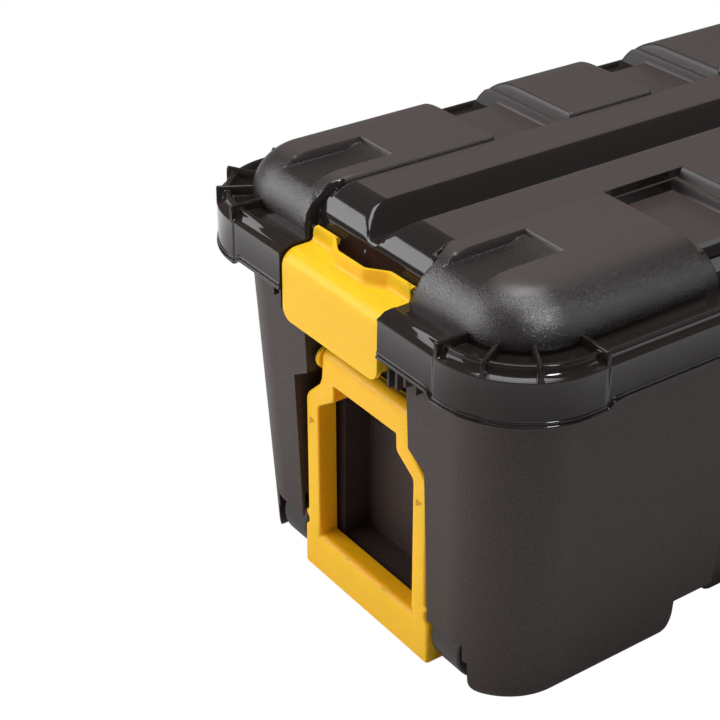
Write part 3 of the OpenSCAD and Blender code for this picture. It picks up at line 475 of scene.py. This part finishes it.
# Lid rim: one profile carried round the ridge outline. Its points are given as across and height,
# from the named level beside them.
rimShape = {
    "halfLength": 404.0, "halfWidth": 245.0, "radius": 86.0, "sharpAngle": 40.0,
    "wall": 3.4, "inner": -27.0,
    "ridge": 401.0, "ridgeIn": -5.0, "gutter": 395.0, "skirtTop": 390.0, "skirtLow": 350.0, "skirtOut": 7.4,
    "innerTop": ((-1, 0), (0, -1.5)), "innerLow": ((0, 1), (.4, .2)),
    "lowBead": (-.2, 1.9), "lowBeadRadius": 1.9, "lowBeadTurns": (-100, -60, -30, 0, 30, 60, 84),
    "highBead": (-.15, 6.2), "highBeadAcross": 1.3, "highBeadUp": 1.5,
    "highBeadTurns": (-80, -40, 0, 40, 80),
    "betweenBeads": (-.1, 4.3), "overBeads": (0, 8.2),
    "lip": ((0, -3.2), (.5, -2.2), (.7, -1.2), (.45, -.3), (-.3, .2)), "lipFoot": (-.8, .25),
    "coveRadius": 9.0, "coveOut": 9.4, "coveTurns": (256, 245, 234, 223, 212, 201, 190, 181),
    "crest": ((.2, -.7), (-.4, -.15), (-1.2, 0), (-3.4, 0), (-4.4, -.4), (-5.4, -1.6)),
    "crestFoot": ((-6.6, 2.2), (-7.8, .7), (-9.6, 0)),
    # The corner bands stand proud and hang lower.
    "bandDrop": 6.0, "bandProud": 0.5, "bandEnd": 157.0, "bandSide": 300.0,
    "bandBlend": 9.0, "bandStep": 0.6,
    # Towards a latch the ridge runs inwards and sinks to the level of the gutter.
    "sinkIn": 8.6, "sinkDown": 5.6, "sinkFrom": 0.3, "sinkLevel": 0.2,
    # Behind a latch the rim is a plain bend down from the tray.
    "notchHalf": 77.0, "notchFace": 1.6, "notchBend": 11.6, "notchTurns": (0, 15, 30, 45, 60, 71.5),
    "notchInner": ((-4, 0), (-2, 0)), "notchBack": ((0, -2), (0, -4)), "notchLow": ((0, 1), (.4, 0)),
    "notchToe": ((-.4, 0), (0, .5)), "notchSpare": 1.0,
    "bendCentre": (-10.2, 376.5), "trayFloor": 387.5, "trayOut": -9.0,
    "ends": (0, 25, 50, 70, 76.9, 77.2, 84, 100, 125, 140, 148, 150, 152, 154, 156.4, 157),
    "sides": (0, 60, 120, 180, 240, 280, 291, 293, 295, 297, 299.4, 300, 306), "cornerSteps": 20,
    "onLine": 0.5,
}
farAway = 1e9


def rimProfile(proud, drop, sink, s):
    low = s["skirtLow"] - s["bandDrop"] * drop
    out = s["skirtOut"] + s["bandProud"] * proud
    wall, top, ridge, gutter = s["wall"], s["skirtTop"], s["ridge"], s["gutter"]
    inside = s["skirtOut"] - wall
    line = [(s["inner"], gutter - wall), (-wall, gutter - wall), (-wall, top - wall)]
    line += shifted((inside, top - wall), s["innerTop"]) + shifted((inside, low), s["innerLow"])
    lowBead, highBead = shifted((out, low), (s["lowBead"], s["highBead"]))
    line += arc(lowBead, s["lowBeadRadius"], s["lowBeadRadius"], s["lowBeadTurns"])
    line += shifted((out, low), [s["betweenBeads"]])
    line += arc(highBead, s["highBeadAcross"], s["highBeadUp"], s["highBeadTurns"])
    line += shifted((out, low), [s["overBeads"]]) + shifted((out, top), s["lip"])
    line += shifted((s["skirtOut"], top), [s["lipFoot"]])
    line += arc((s["coveOut"], top + s["coveRadius"]), s["coveRadius"], s["coveRadius"], s["coveTurns"])
    line += shifted((0, ridge), s["crest"]) + shifted((0, gutter), s["crestFoot"]) + [(s["inner"], gutter)]
    return [sunkRidge(o, z, sink, s) for o, z in line]


def sunkRidge(o, z, sink, s):
    if z <= s["skirtTop"] + s["sinkFrom"] or o <= s["inner"]:
        return o, z
    part = sink * ((z - s["skirtTop"]) / (s["ridge"] - s["skirtTop"])) ** 2
    return o - s["sinkIn"] * part, max(z - s["sinkDown"] * part, min(z, s["gutter"] - s["sinkLevel"]))


def notchProfile(count, s):
    face, low, floor, wall = s["notchFace"], s["skirtLow"], s["trayFloor"], s["wall"]
    line = [(s["inner"], floor - wall)] + shifted((-wall, floor - wall), s["notchInner"])
    line += shifted((face - wall, floor - wall), s["notchBack"])
    line += shifted((face - wall, low), s["notchLow"]) + shifted((face, low), s["notchToe"])
    bend = arc(s["bendCentre"], s["notchBend"], s["notchBend"], s["notchTurns"])
    bend += [(s["trayOut"], floor), (s["inner"], floor)]
    spare = count - len(line) - len(bend)
    rise = s["bendCentre"][1] - low - 2 * s["notchSpare"]
    line += [(face, low + s["notchSpare"] + rise * (k + 1) / (spare + 1)) for k in range(spare)]
    return line + bend


# Places round the rim, each with the direction that it faces.
def rimStations(s):
    a, b, r = s["halfLength"], s["halfWidth"], s["radius"]
    turns = [k * 90.0 / s["cornerSteps"] for k in range(s["cornerSteps"] + 1)]
    quarter = [(a, v, 0.0) for v in s["ends"]]
    quarter += [(x, y, t) for (x, y), t in zip(arc((a - r, b - r), r, r, turns), turns)]
    quarter += [(v, b, 90.0) for v in reversed(s["sides"])]
    stations = list(quarter)
    stations += [(-x, y, 180.0 - t) for x, y, t in reversed(quarter[:-1])]
    stations += [(-x, -y, 180.0 + t) for x, y, t in quarter[1:]]
    stations += [(x, -y, -t) for x, y, t in reversed(quarter[1:-1])]
    return stations


# How much of the corner band a place has: all in a corner, and less before the band on a straight.
def bandPart(onEnd, onSide, blend, s):
    straights = [(onEnd, s["bandEnd"]), (onSide, s["bandSide"])]
    parts = [easeStep(along, start - blend, start) for along, start in straights if along < farAway]
    return max(parts, default=1.0)


def rimMesh(s):
    count = len(rimProfile(0, 0, 0, s))
    points, faces, stations = [], [], rimStations(s)
    for x, y, turn in stations:
        onEnd = abs(y) if abs(x) > s["halfLength"] - s["onLine"] else farAway
        onSide = abs(x) if abs(y) > s["halfWidth"] - s["onLine"] else farAway
        proud = bandPart(onEnd, onSide, s["bandStep"], s)
        drop = bandPart(onEnd, onSide, s["bandBlend"], s)
        sink = clamp((s["bandEnd"] - onEnd) / (s["bandEnd"] - s["notchHalf"]))
        line = notchProfile(count, s) if onEnd < s["notchHalf"] else rimProfile(proud, drop, sink, s)
        nx, ny = direction(turn)
        points += [(x + nx * o, y + ny * o, z) for o, z in line]
    for i in range(len(stations)):
        j = (i + 1) % len(stations)
        faces += [(i * count + k, j * count + k, j * count + k + 1, i * count + k + 1)
                  for k in range(count - 1)]
    return points, faces


# Fins: four at each corner, thin at the top and flared where they meet the rim.
finShape = {
    "half": 2.1, "top": 405.0, "noseDrop": 1.2, "topRound": 1.4, "topCut": 0.5, "sunk": 0.6,
    "sharpAngle": 50.0,
    "flare": 2.2, "flareTurns": (0, 20, 40, 60, 80), "flareSpare": 2.0, "lowFlare": 0.8, "lowRise": 0.15,
    "fromBand": 2.5, "cornerTurns": (30, 60),
    "steps": (8.3, 7.6, 6.5, 5, 3.5, 2, 1, .4, 0, -1.5, -3, -4.6, -5.2, -6, -9, -15, -22, -30.0),
}


def rimSurface(o, s):
    if o > s["coveOut"] - s["coveRadius"]:
        across = s["coveOut"] - o
        return s["skirtTop"] + s["coveRadius"] - math.sqrt(max(s["coveRadius"] ** 2 - across ** 2, 0.0))
    return s["ridge"] if o > s["ridgeIn"] else s["gutter"]


def finMesh(place, turn, f, s):
    nx, ny = direction(turn)
    points, faces = [], []
    for o in f["steps"]:
        base = rimSurface(o, s) - f["sunk"]
        top = f["top"] - (f["noseDrop"] if o == f["steps"][0] else 0.0)
        rise, steps = top - base, len(f["flareTurns"])
        if rise > f["flare"] + f["flareSpare"]:
            turns = [direction(angle) for angle in f["flareTurns"]]
            levels = [(f["half"] + f["flare"] * (1 - sine), base + f["flare"] * (1 - cosine))
                      for cosine, sine in turns]
        else:
            levels = [(f["half"] + f["lowFlare"] * (steps - 1 - k), base + f["lowRise"] * k * rise)
                      for k in range(steps)]
        levels += [(f["half"], top - f["topRound"]), (f["half"] - f["topCut"], top - f["topCut"]),
                   (f["half"] - f["topRound"], top)]
        row = [(-w, z) for w, z in levels] + [(w, z) for w, z in reversed(levels)]
        points += [(place[0] + nx * o - ny * w, place[1] + ny * o + nx * w, z) for w, z in row]
    n = len(row)
    faces.append(tuple(range(n)))
    for i in range(len(f["steps"]) - 1):
        faces += [(i * n + k, (i + 1) * n + k, (i + 1) * n + k + 1, i * n + k + 1) for k in range(n - 1)]
    return points, faces


def allFins(f, s):
    a, b, r = s["halfLength"], s["halfWidth"], s["radius"]
    quarter = [((a, s["bandEnd"] + f["fromBand"]), 0.0), ((s["bandSide"] + f["fromBand"], b), 90.0)]
    quarter += list(zip(arc((a - r, b - r), r, r, f["cornerTurns"]), f["cornerTurns"]))
    points, faces = [], []
    for sx in (1, -1):
        for sy in (1, -1):
            for place, turn in quarter:
                nx, ny = direction(turn)
                angle = math.degrees(math.atan2(sy * ny, sx * nx))
                addMesh(points, faces, finMesh((sx * place[0], sy * place[1]), angle, f, s))
    return points, faces


# Where the lid's finish changes: the grained domes, their dull end walls, the satin of the flat tops
# and the polish of the rest. A normal is the upward part of a face's normal.
lidGrain = {
    "slots": {"domePlastic": 1, "satinPlastic": 2, "wheelPlastic": 3},
    "intoDome": 10.5, "crownBand": 6.0, "beyondFoot": 1.5, "overBase": 4.0,
    "bayFrom": 335.0, "bayBeyond": 7.0, "bayNormal": 0.75,
    "endBefore": -2.0, "endPast": 12.0, "endNormal": 0.8,
    "flatNormal": 0.93, "underValley": 3.0,
}


def grainDomes(piece, s, g):
    for plastic in g["slots"]:
        piece.data.materials.append(materials[plastic])
    for face in piece.data.polygons:
        x, y, z = (abs(v) / mm for v in face.center)
        up = face.normal.z
        inwards = max(x - s["domeStart"], s["midDomeEnd"] - x)
        beyondFoot = y > s["wallFoot"] + g["beyondFoot"]
        overDome = inwards > g["intoDome"] or (inwards > 0 and z > s["top"] - g["crownBand"])
        bayWall = x > g["bayFrom"] and y < s["bayHalf"] + g["bayBeyond"] and up < g["bayNormal"]
        if g["endBefore"] < inwards < g["endPast"] and beyondFoot and up < g["endNormal"]:
            face.material_index = g["slots"]["wheelPlastic"]
        elif overDome and not bayWall and beyondFoot and z > s["base"] + g["overBase"]:
            face.material_index = g["slots"]["domePlastic"]
        elif up > g["flatNormal"] and x < s["plateauCrease"] and z > s["valleyFloor"] - g["underValley"]:
            face.material_index = g["slots"]["satinPlastic"]


def buildLid(s, rim, fins):
    body, slotName = "lid", "lid_plastic"
    points, faces = lidSkin(s, lidGrid, 0.0)
    top = meshPiece("lidTop", points, faces, "polishedPlastic", body, s["sharpAngle"])
    grainDomes(top, s, lidGrain)
    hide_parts("lid")
    points, faces = lidSkin(s, lidGrid, s["thickness"])
    meshPiece("lidInside", points, faces, "polishedPlastic", body, s["sharpAngle"])
    points, faces = rimMesh(rim)
    meshPiece("lidRim", points, faces, "rimPlastic", body, rim["sharpAngle"])
    points, faces = allFins(fins, rim)
    meshPiece("lidFins", points, faces, "rimPlastic", body, fins["sharpAngle"], closed=True)
    print("lid built")


buildLid(lidShape, rimShape, finShape)


# Latches: a front plate, a scooped top and a rear wall, as one skin across the width.
latchShape = {
    "halfWidth": 75.0, "face": -409.8, "low": 322.0, "lowRound": 13.0, "thickness": 4.0,
    "bend": 16.0, "topHeight": 392.5, "bendStep": 9, "innerStep": 15, "sharpAngle": 50.0,
    "faceSteps": 4, "topSteps": 3, "fold": 5.0, "foldTurns": (0, 20, 40, 60, 80, 90),
    "wallX": -374.5, "wallMidIn": 13.0, "wallThickness": 3.4,
    "wallCut": 2.0, "wallFoot": 3.0, "wallIn": 1.0,
    "midHalf": 21.0, "earHalf": 43.0, "earTop": 409.5, "midTop": 407.6, "earRound": 9.0, "earBlend": 0.12,
    "hookReach": 5.0, "hookHeight": 7.0, "hookThickness": 2.0, "hookBack": 8.0, "hookToe": 1.5,
    "eyeX": -370.0, "eyeZ": 403.0, "eyeRadius": 4.2, "eyeEnd": 74.6, "eyeSides": 24,
    "cheekFrom": 2.0, "cheekTo": 14.0, "cheekInner": 72.0, "cheekOuter": 74.8, "cheekLow": 332.0,
    "cheekHigh": 346.0, "edge": 1.1, "edgeSteps": 3,
    "stations": [
        0, 6, 12, 16, 19, 22, 25, 29, 33, 37, 40, 42, 44, 47, 52, 58, 62, 65, 67.5, 69.5, 71, 72.3, 73.4,
        74.3, 75,
    ],
}


# How far a corner of this radius has drawn in at a place across the width.
def cornerDrop(y, radius, s):
    past = max(y - (s["halfWidth"] - radius), 0.0)
    return radius - math.sqrt(max(radius ** 2 - past ** 2, 0.0))


def latchLine(y, s):
    y = abs(y)
    t = smoothMax((y - s["midHalf"]) / (s["earHalf"] - s["midHalf"]), 0.0, s["earBlend"])
    t = smoothMin(t, 1.0, s["earBlend"])
    wall = s["wallX"] - s["wallMidIn"] * (1.0 - t)
    top = s["midTop"] + (s["earTop"] - s["midTop"]) * t - cornerDrop(y, s["earRound"], s)
    low = s["low"] + cornerDrop(y, s["lowRound"], s)
    face, bend, up, fold = s["face"], s["bend"], s["topHeight"], s["fold"]
    centre = (face + bend, up - bend)
    line = [(face, low + (centre[1] - low) * k / s["faceSteps"]) for k in range(s["faceSteps"])]
    line += arc(centre, -bend, bend, range(0, 91, s["bendStep"]))
    foot = wall - fold
    line += [(centre[0] + (foot - centre[0]) * k / s["topSteps"], up) for k in range(1, s["topSteps"])]
    line += [(foot + fold * sine, up + fold * (1 - cosine))
             for cosine, sine in (direction(angle) for angle in s["foldTurns"])]
    back, under, inner = wall + s["wallThickness"], up - s["thickness"], bend - s["thickness"]
    line += [(wall, top - s["wallCut"]), (wall, top), (back, top), (back, under + s["wallFoot"]),
             (back, under), (wall - s["wallIn"], under)]
    line += arc(centre, -inner, inner, range(90, -1, -s["innerStep"]))
    inside, hook = face + s["thickness"], low + s["hookHeight"]
    line += [(inside, hook + s["hookBack"]), (inside, hook), (inside + s["hookReach"], hook),
             (inside + s["hookReach"], hook - s["hookThickness"]), (inside + s["hookToe"], low)]
    return line


def latchMesh(s):
    stations = [-v for v in reversed(s["stations"]) if v] + s["stations"]
    lines = [latchLine(y, s) for y in stations]
    count, last = len(lines[0]), len(stations) - 1
    points = [(x, y, z) for y, line in zip(stations, lines) for x, z in line]
    faces = [tuple(range(count)), tuple(reversed([last * count + k for k in range(count)]))]
    for i in range(last):
        for k in range(count):
            n = (k + 1) % count
            faces.append((i * count + k, i * count + n, (i + 1) * count + n, (i + 1) * count + k))
    for side in (1, -1):
        eye = barMesh((s["eyeX"], side * s["earHalf"], s["eyeZ"]),
                      (s["eyeX"], side * s["eyeEnd"], s["eyeZ"]), s["eyeRadius"], s["eyeSides"])
        addMesh(points, faces, eye)
        cheek = boxMesh((s["face"] + s["cheekFrom"], side * s["cheekInner"], s["cheekLow"]),
                        (s["face"] + s["cheekTo"], side * s["cheekOuter"], s["cheekHigh"]))
        addMesh(points, faces, cheek)
    return points, faces


def buildLatches(s):
    points, faces = latchMesh(s)
    for side, shown in (("near", points), ("far", farEnd(points))):
        piece = meshPiece("latchBody_" + side, shown, faces, "yellowPlastic", "latch_" + side,
                          s["sharpAngle"], closed=True)
        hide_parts("latch_" + side)
        bevelEdges(piece, s["edge"], s["edgeSteps"])
    print("latches built")


buildLatches(latchShape)


# Handles: a channel section carried round the loop, solid at the top where the pin passes.
handleShape = {
    "front": -369.2, "depth": 22.0, "wall": 3.4, "hollow": 4.6, "solid": 21.0, "solidFrom": 222.0,
    "solidBlend": 10.0, "pivot": 262.0, "lean": 0.011, "sharpAngle": 28.0,
    "edge": 3.6, "inner": 2.4, "back": 0.6, "sectionTurns": (0, 18, 36, 54, 72, 90),
    "topRound": 11.0, "topFrom": 240.0, "topBlend": 12.0,
    "gripInner": 8.0, "gripUnder": 56.0, "gripBlend": 5.0,
    "bossFrom": 72.0, "bossTo": 77.5, "bossRadius": 12.0, "bossX": -359.2, "bossSides": 40,
    "divider": 31.0, "dividerHalf": 1.8, "dividerFrom": 4.0, "dividerTo": 21.5, "dividerLow": 4.0,
    "dividerHigh": 46.0, "openHalf": 80.0, "openTop": 236.0, "openNormal": 0.6,
    "markHeight": 183.0, "markAcross": 88.0, "markSize": 4.2, "markTip": 2.6,
    "markProud": 0.6, "markDepth": 1.6,
    # Corners of the outer and inner edge from the top down, each as across, height and radius
    "corners": [
        ((73, 275, 5), (51, 242, 2)), ((73, 236, 7), (51, 224, 4)), ((99, 212, 7), (78, 206, 4)),
        ((99, 70, .6), (78, 71, 0)), ((103, 68.5, .6), (78, 68, 0)), ((103, 65.5, .6), (78, 65, 0)),
        ((99, 61, .6), (78, 62, 0)), ((99, 54, 1.5), (78, 58, 0)), ((104, 49, 1.5), (78, 54, 0)),
        ((104, .6, 3), (78, 48.5, 2)),
    ],
    "cornerSteps": 4, "sharpStep": 0.02,
}


# A corner's points, as many for a sharp corner as for a round one, so that both edges match.
def roundCorner(before, corner, after, s):
    here, radius, steps = Vector(corner[:2]), corner[2], s["cornerSteps"]
    onward = (Vector(after[:2]) - here).normalized()
    if radius <= 0:
        return [here + onward * s["sharpStep"] * k for k in range(steps + 1)]
    start = here + (Vector(before[:2]) - here).normalized() * radius
    end = here + onward * radius
    parts = [k / steps for k in range(steps + 1)]
    return [start * (1 - t) ** 2 + here * 2 * t * (1 - t) + end * t ** 2 for t in parts]


def handleStations(s):
    half = []
    for side in (0, 1):
        corners = [pair[side] for pair in s["corners"]]
        ends = [(0, corners[0][1], 0)] + corners + [(0, corners[-1][1], 0)]
        line = [Vector(ends[0][:2])]
        for k in range(1, len(ends) - 1):
            line += roundCorner(ends[k - 1], ends[k], ends[k + 1], s)
        half.append(line + [Vector(ends[-1][:2])])
    stations = list(zip(*half))
    other = [(Vector((-o.x, o.y)), Vector((-i.x, i.y))) for o, i in reversed(stations[1:-1])]
    return stations + other


def handleSection(outer, inner, s):
    width = (inner - outer).length
    along = (inner - outer) / width
    top = clamp((outer.y - s["topFrom"]) / s["topBlend"])
    grip = clamp((s["gripUnder"] - inner.y) / s["gripBlend"])
    filled = clamp((outer.y - s["solidFrom"]) / s["solidBlend"])
    front = s["edge"] + (s["topRound"] - s["edge"]) * top
    inside = s["inner"] + (s["gripInner"] - s["inner"]) * grip
    back = s["back"] + (s["topRound"] - s["back"]) * top
    floor = s["hollow"] + (s["solid"] - s["hollow"]) * filled
    depth, wall = s["depth"], s["wall"]
    turns = [direction(angle) for angle in s["sectionTurns"]]
    loop = [(back - back * sine, depth - back + back * cosine) for cosine, sine in turns]
    loop += [(front - front * cosine, front - front * sine) for cosine, sine in turns]
    loop += [(width - inside + inside * sine, inside - inside * cosine) for cosine, sine in turns]
    loop += [(width, depth), (width - wall, depth), (width - wall, floor), (wall, floor), (wall, depth)]
    spots = [(x, outer + along * u) for u, x in loop]
    return [(s["front"] + x + (s["pivot"] - spot.y) * s["lean"], spot.x, spot.y) for x, spot in spots]


def handleMesh(s):
    rings = [handleSection(outer, inner, s) for outer, inner in handleStations(s)]
    count = len(rings[0])
    points = [p for ring in rings for p in ring]
    faces = []
    for i in range(len(rings)):
        j = (i + 1) % len(rings)
        faces += [(i * count + k, j * count + k, j * count + (k + 1) % count, i * count + (k + 1) % count)
                  for k in range(count)]
    for side in (-1, 1):
        middle = side * s["divider"]
        divider = boxMesh((s["front"] + s["dividerFrom"], middle - s["dividerHalf"], s["dividerLow"]),
                          (s["front"] + s["dividerTo"], middle + s["dividerHalf"], s["dividerHigh"]))
        addMesh(points, faces, divider)
        boss = barMesh((s["bossX"], side * s["bossFrom"], s["pivot"]),
                       (s["bossX"], side * s["bossTo"], s["pivot"]), s["bossRadius"], s["bossSides"])
        addMesh(points, faces, boss)
    return points, faces


# Small triangles moulded on the arms. On the handle they are dents; here they stand a little proud, and
# their darker yellow is painted shade of the dent.
def handleMarks(s):
    points, faces = [], []
    front = s["front"] + (s["pivot"] - s["markHeight"]) * s["lean"] - s["markProud"]
    size = s["markSize"]
    outline = ((size, size), (size, -size), (-size, s["markTip"]))
    prism = ((0, 1, 2), (5, 4, 3), (0, 3, 4, 1), (1, 4, 5, 2), (2, 5, 3, 0))
    for side in (-1, 1):
        flat = shifted((side * s["markAcross"], s["markHeight"]), outline)
        corners = [(x, y, z) for x in (front, front + s["markDepth"]) for y, z in flat]
        addMesh(points, faces, (corners, prism))
    return points, faces


# The faces turned to the opening get a warmer, more orange yellow: painted bounce light, standing in for the
# light passed between the yellow walls.
def paintBounceLightInOpening(piece, s):
    piece.data.materials.append(materials["paintedBounceYellow"])
    for face in piece.data.polygons:
        y, z = face.center.y / mm, face.center.z / mm
        inwards = -face.normal.y if y > 0 else face.normal.y
        if abs(y) < s["openHalf"] and z < s["openTop"] and max(inwards, face.normal.z) > s["openNormal"]:
            # These inward faces get the painted bounce light.
            face.material_index = 1


def buildHandles(s):
    points, faces = handleMesh(s)
    marks, markFaces = handleMarks(s)
    for side, shown, shownMarks in (("near", points, marks), ("far", farEnd(points), farEnd(marks))):
        body = "handle_" + side
        piece = meshPiece("handleLoop_" + side, shown, faces, "yellowPlastic", body,
                          s["sharpAngle"], closed=True)
        paintBounceLightInOpening(piece, s)
        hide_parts(body)
        # The marks carry painted shade of their dents.
        meshPiece("handleMarks_" + side, shownMarks, markFaces, "paintedDentShade", body,
                  closed=True)
    print("handles built")


buildHandles(handleShape)


# The roof of each side channel closes the wall inside the rim, where the CAD tub leaves it open.
channelRoof = {"halfLength": 86.6, "inner": 190.4, "outer": 223.0, "low": 374.0, "high": 377.6}


def buildRoofs(s):
    for name, side in (("channelRoof_left", 1), ("channelRoof_right", -1)):
        points, faces = boxMesh((-s["halfLength"], side * s["inner"], s["low"]),
                                (s["halfLength"], side * s["outer"], s["high"]))
        meshPiece(name, points, faces, "tubPlastic", "tub", closed=True)
    print("channel roofs built")


buildRoofs(channelRoof)


# Studio, in metres and watts. Each light has its place, its size and its power.
studio = {
    "ambient": 0.22, "white": (1, 1, 1, 1),
    "floorSize": 6.0, "floorColour": (0.9, 0.9, 0.9, 1), "floorRough": 0.9,
    "softboxes": {
        "topSoftbox": ((-0.3, -0.1, 2.3), 1.2, 36.0),
        "leftSoftbox": ((-1.9, 1.8, 1.3), 1.3, 32.0),
        "endSoftbox": ((-2.7, 1.0, 1.0), 1.2, 24.0),
        "frontSoftbox": ((2.0, -2.3, 1.3), 1.2, 11.0),
    },
    "softboxAim": (-0.2, 0.0, 0.3),
    "glint": ((-0.3, -2.2, 2.3), 0.5, 60.0),
    "glintAim": (-0.3, -0.2, 0.4),
}


# The camera sees plain white where every other ray sees the lit surface.
def whiteForCamera(tree, lit, white, output):
    path = tree.nodes.new("ShaderNodeLightPath")
    mix = tree.nodes.new("ShaderNodeMixShader")
    tree.links.new(path.outputs["Is Camera Ray"], mix.inputs[0])
    tree.links.new(lit.outputs[0], mix.inputs[1])
    tree.links.new(white.outputs[0], mix.inputs[2])
    tree.links.new(mix.outputs[0], output.inputs[0])


def makeFloor(s):
    mesh = bpy.data.meshes.new("studioFloor")
    shape = bmesh.new()
    bmesh.ops.create_grid(shape, x_segments=1, y_segments=1, size=s["floorSize"])
    shape.to_mesh(mesh)
    shape.free()
    floor = bpy.data.objects.new("studioFloor", mesh)
    bpy.context.scene.collection.objects.link(floor)
    material, tree, shader = newMaterial("studioFloor")
    setInputs(shader, {"Base Color": s["floorColour"], "Roughness": s["floorRough"]})
    white = addNode(tree, "ShaderNodeEmission", {"Color": s["white"], "Strength": 1.0})
    whiteForCamera(tree, shader, white, tree.nodes["Material Output"])
    mesh.materials.append(material)


def makeWorld(s):
    world = bpy.data.worlds.new("studioWorld")
    bpy.context.scene.world = world
    world.use_nodes = True
    tree = world.node_tree
    lit = tree.nodes["Background"]
    setInputs(lit, {"Color": s["white"], "Strength": s["ambient"]})
    white = addNode(tree, "ShaderNodeBackground", {"Color": s["white"], "Strength": 1.0})
    whiteForCamera(tree, lit, white, tree.nodes["World Output"])


def areaLight(name, place, size, power, aim):
    data = bpy.data.lights.new(name, "AREA")
    data.shape = "RECTANGLE"
    data.size, data.size_y, data.energy = size, size, power
    lamp = bpy.data.objects.new(name, data)
    bpy.context.scene.collection.objects.link(lamp)
    lamp.location = place
    lamp.rotation_mode = "QUATERNION"
    lamp.rotation_quaternion = (Vector(aim) - Vector(place)).to_track_quat("-Z", "Y")
    return lamp


makeFloor(studio)
makeWorld(studio)
for name, light in studio["softboxes"].items():
    areaLight(name, *light, studio["softboxAim"])
# The glint shows in glossy reflections only.
areaLight("glintSoftbox", *studio["glint"], studio["glintAim"]).visible_diffuse = False
bpy.context.scene.view_settings.view_transform = "Standard"
print("studio made")
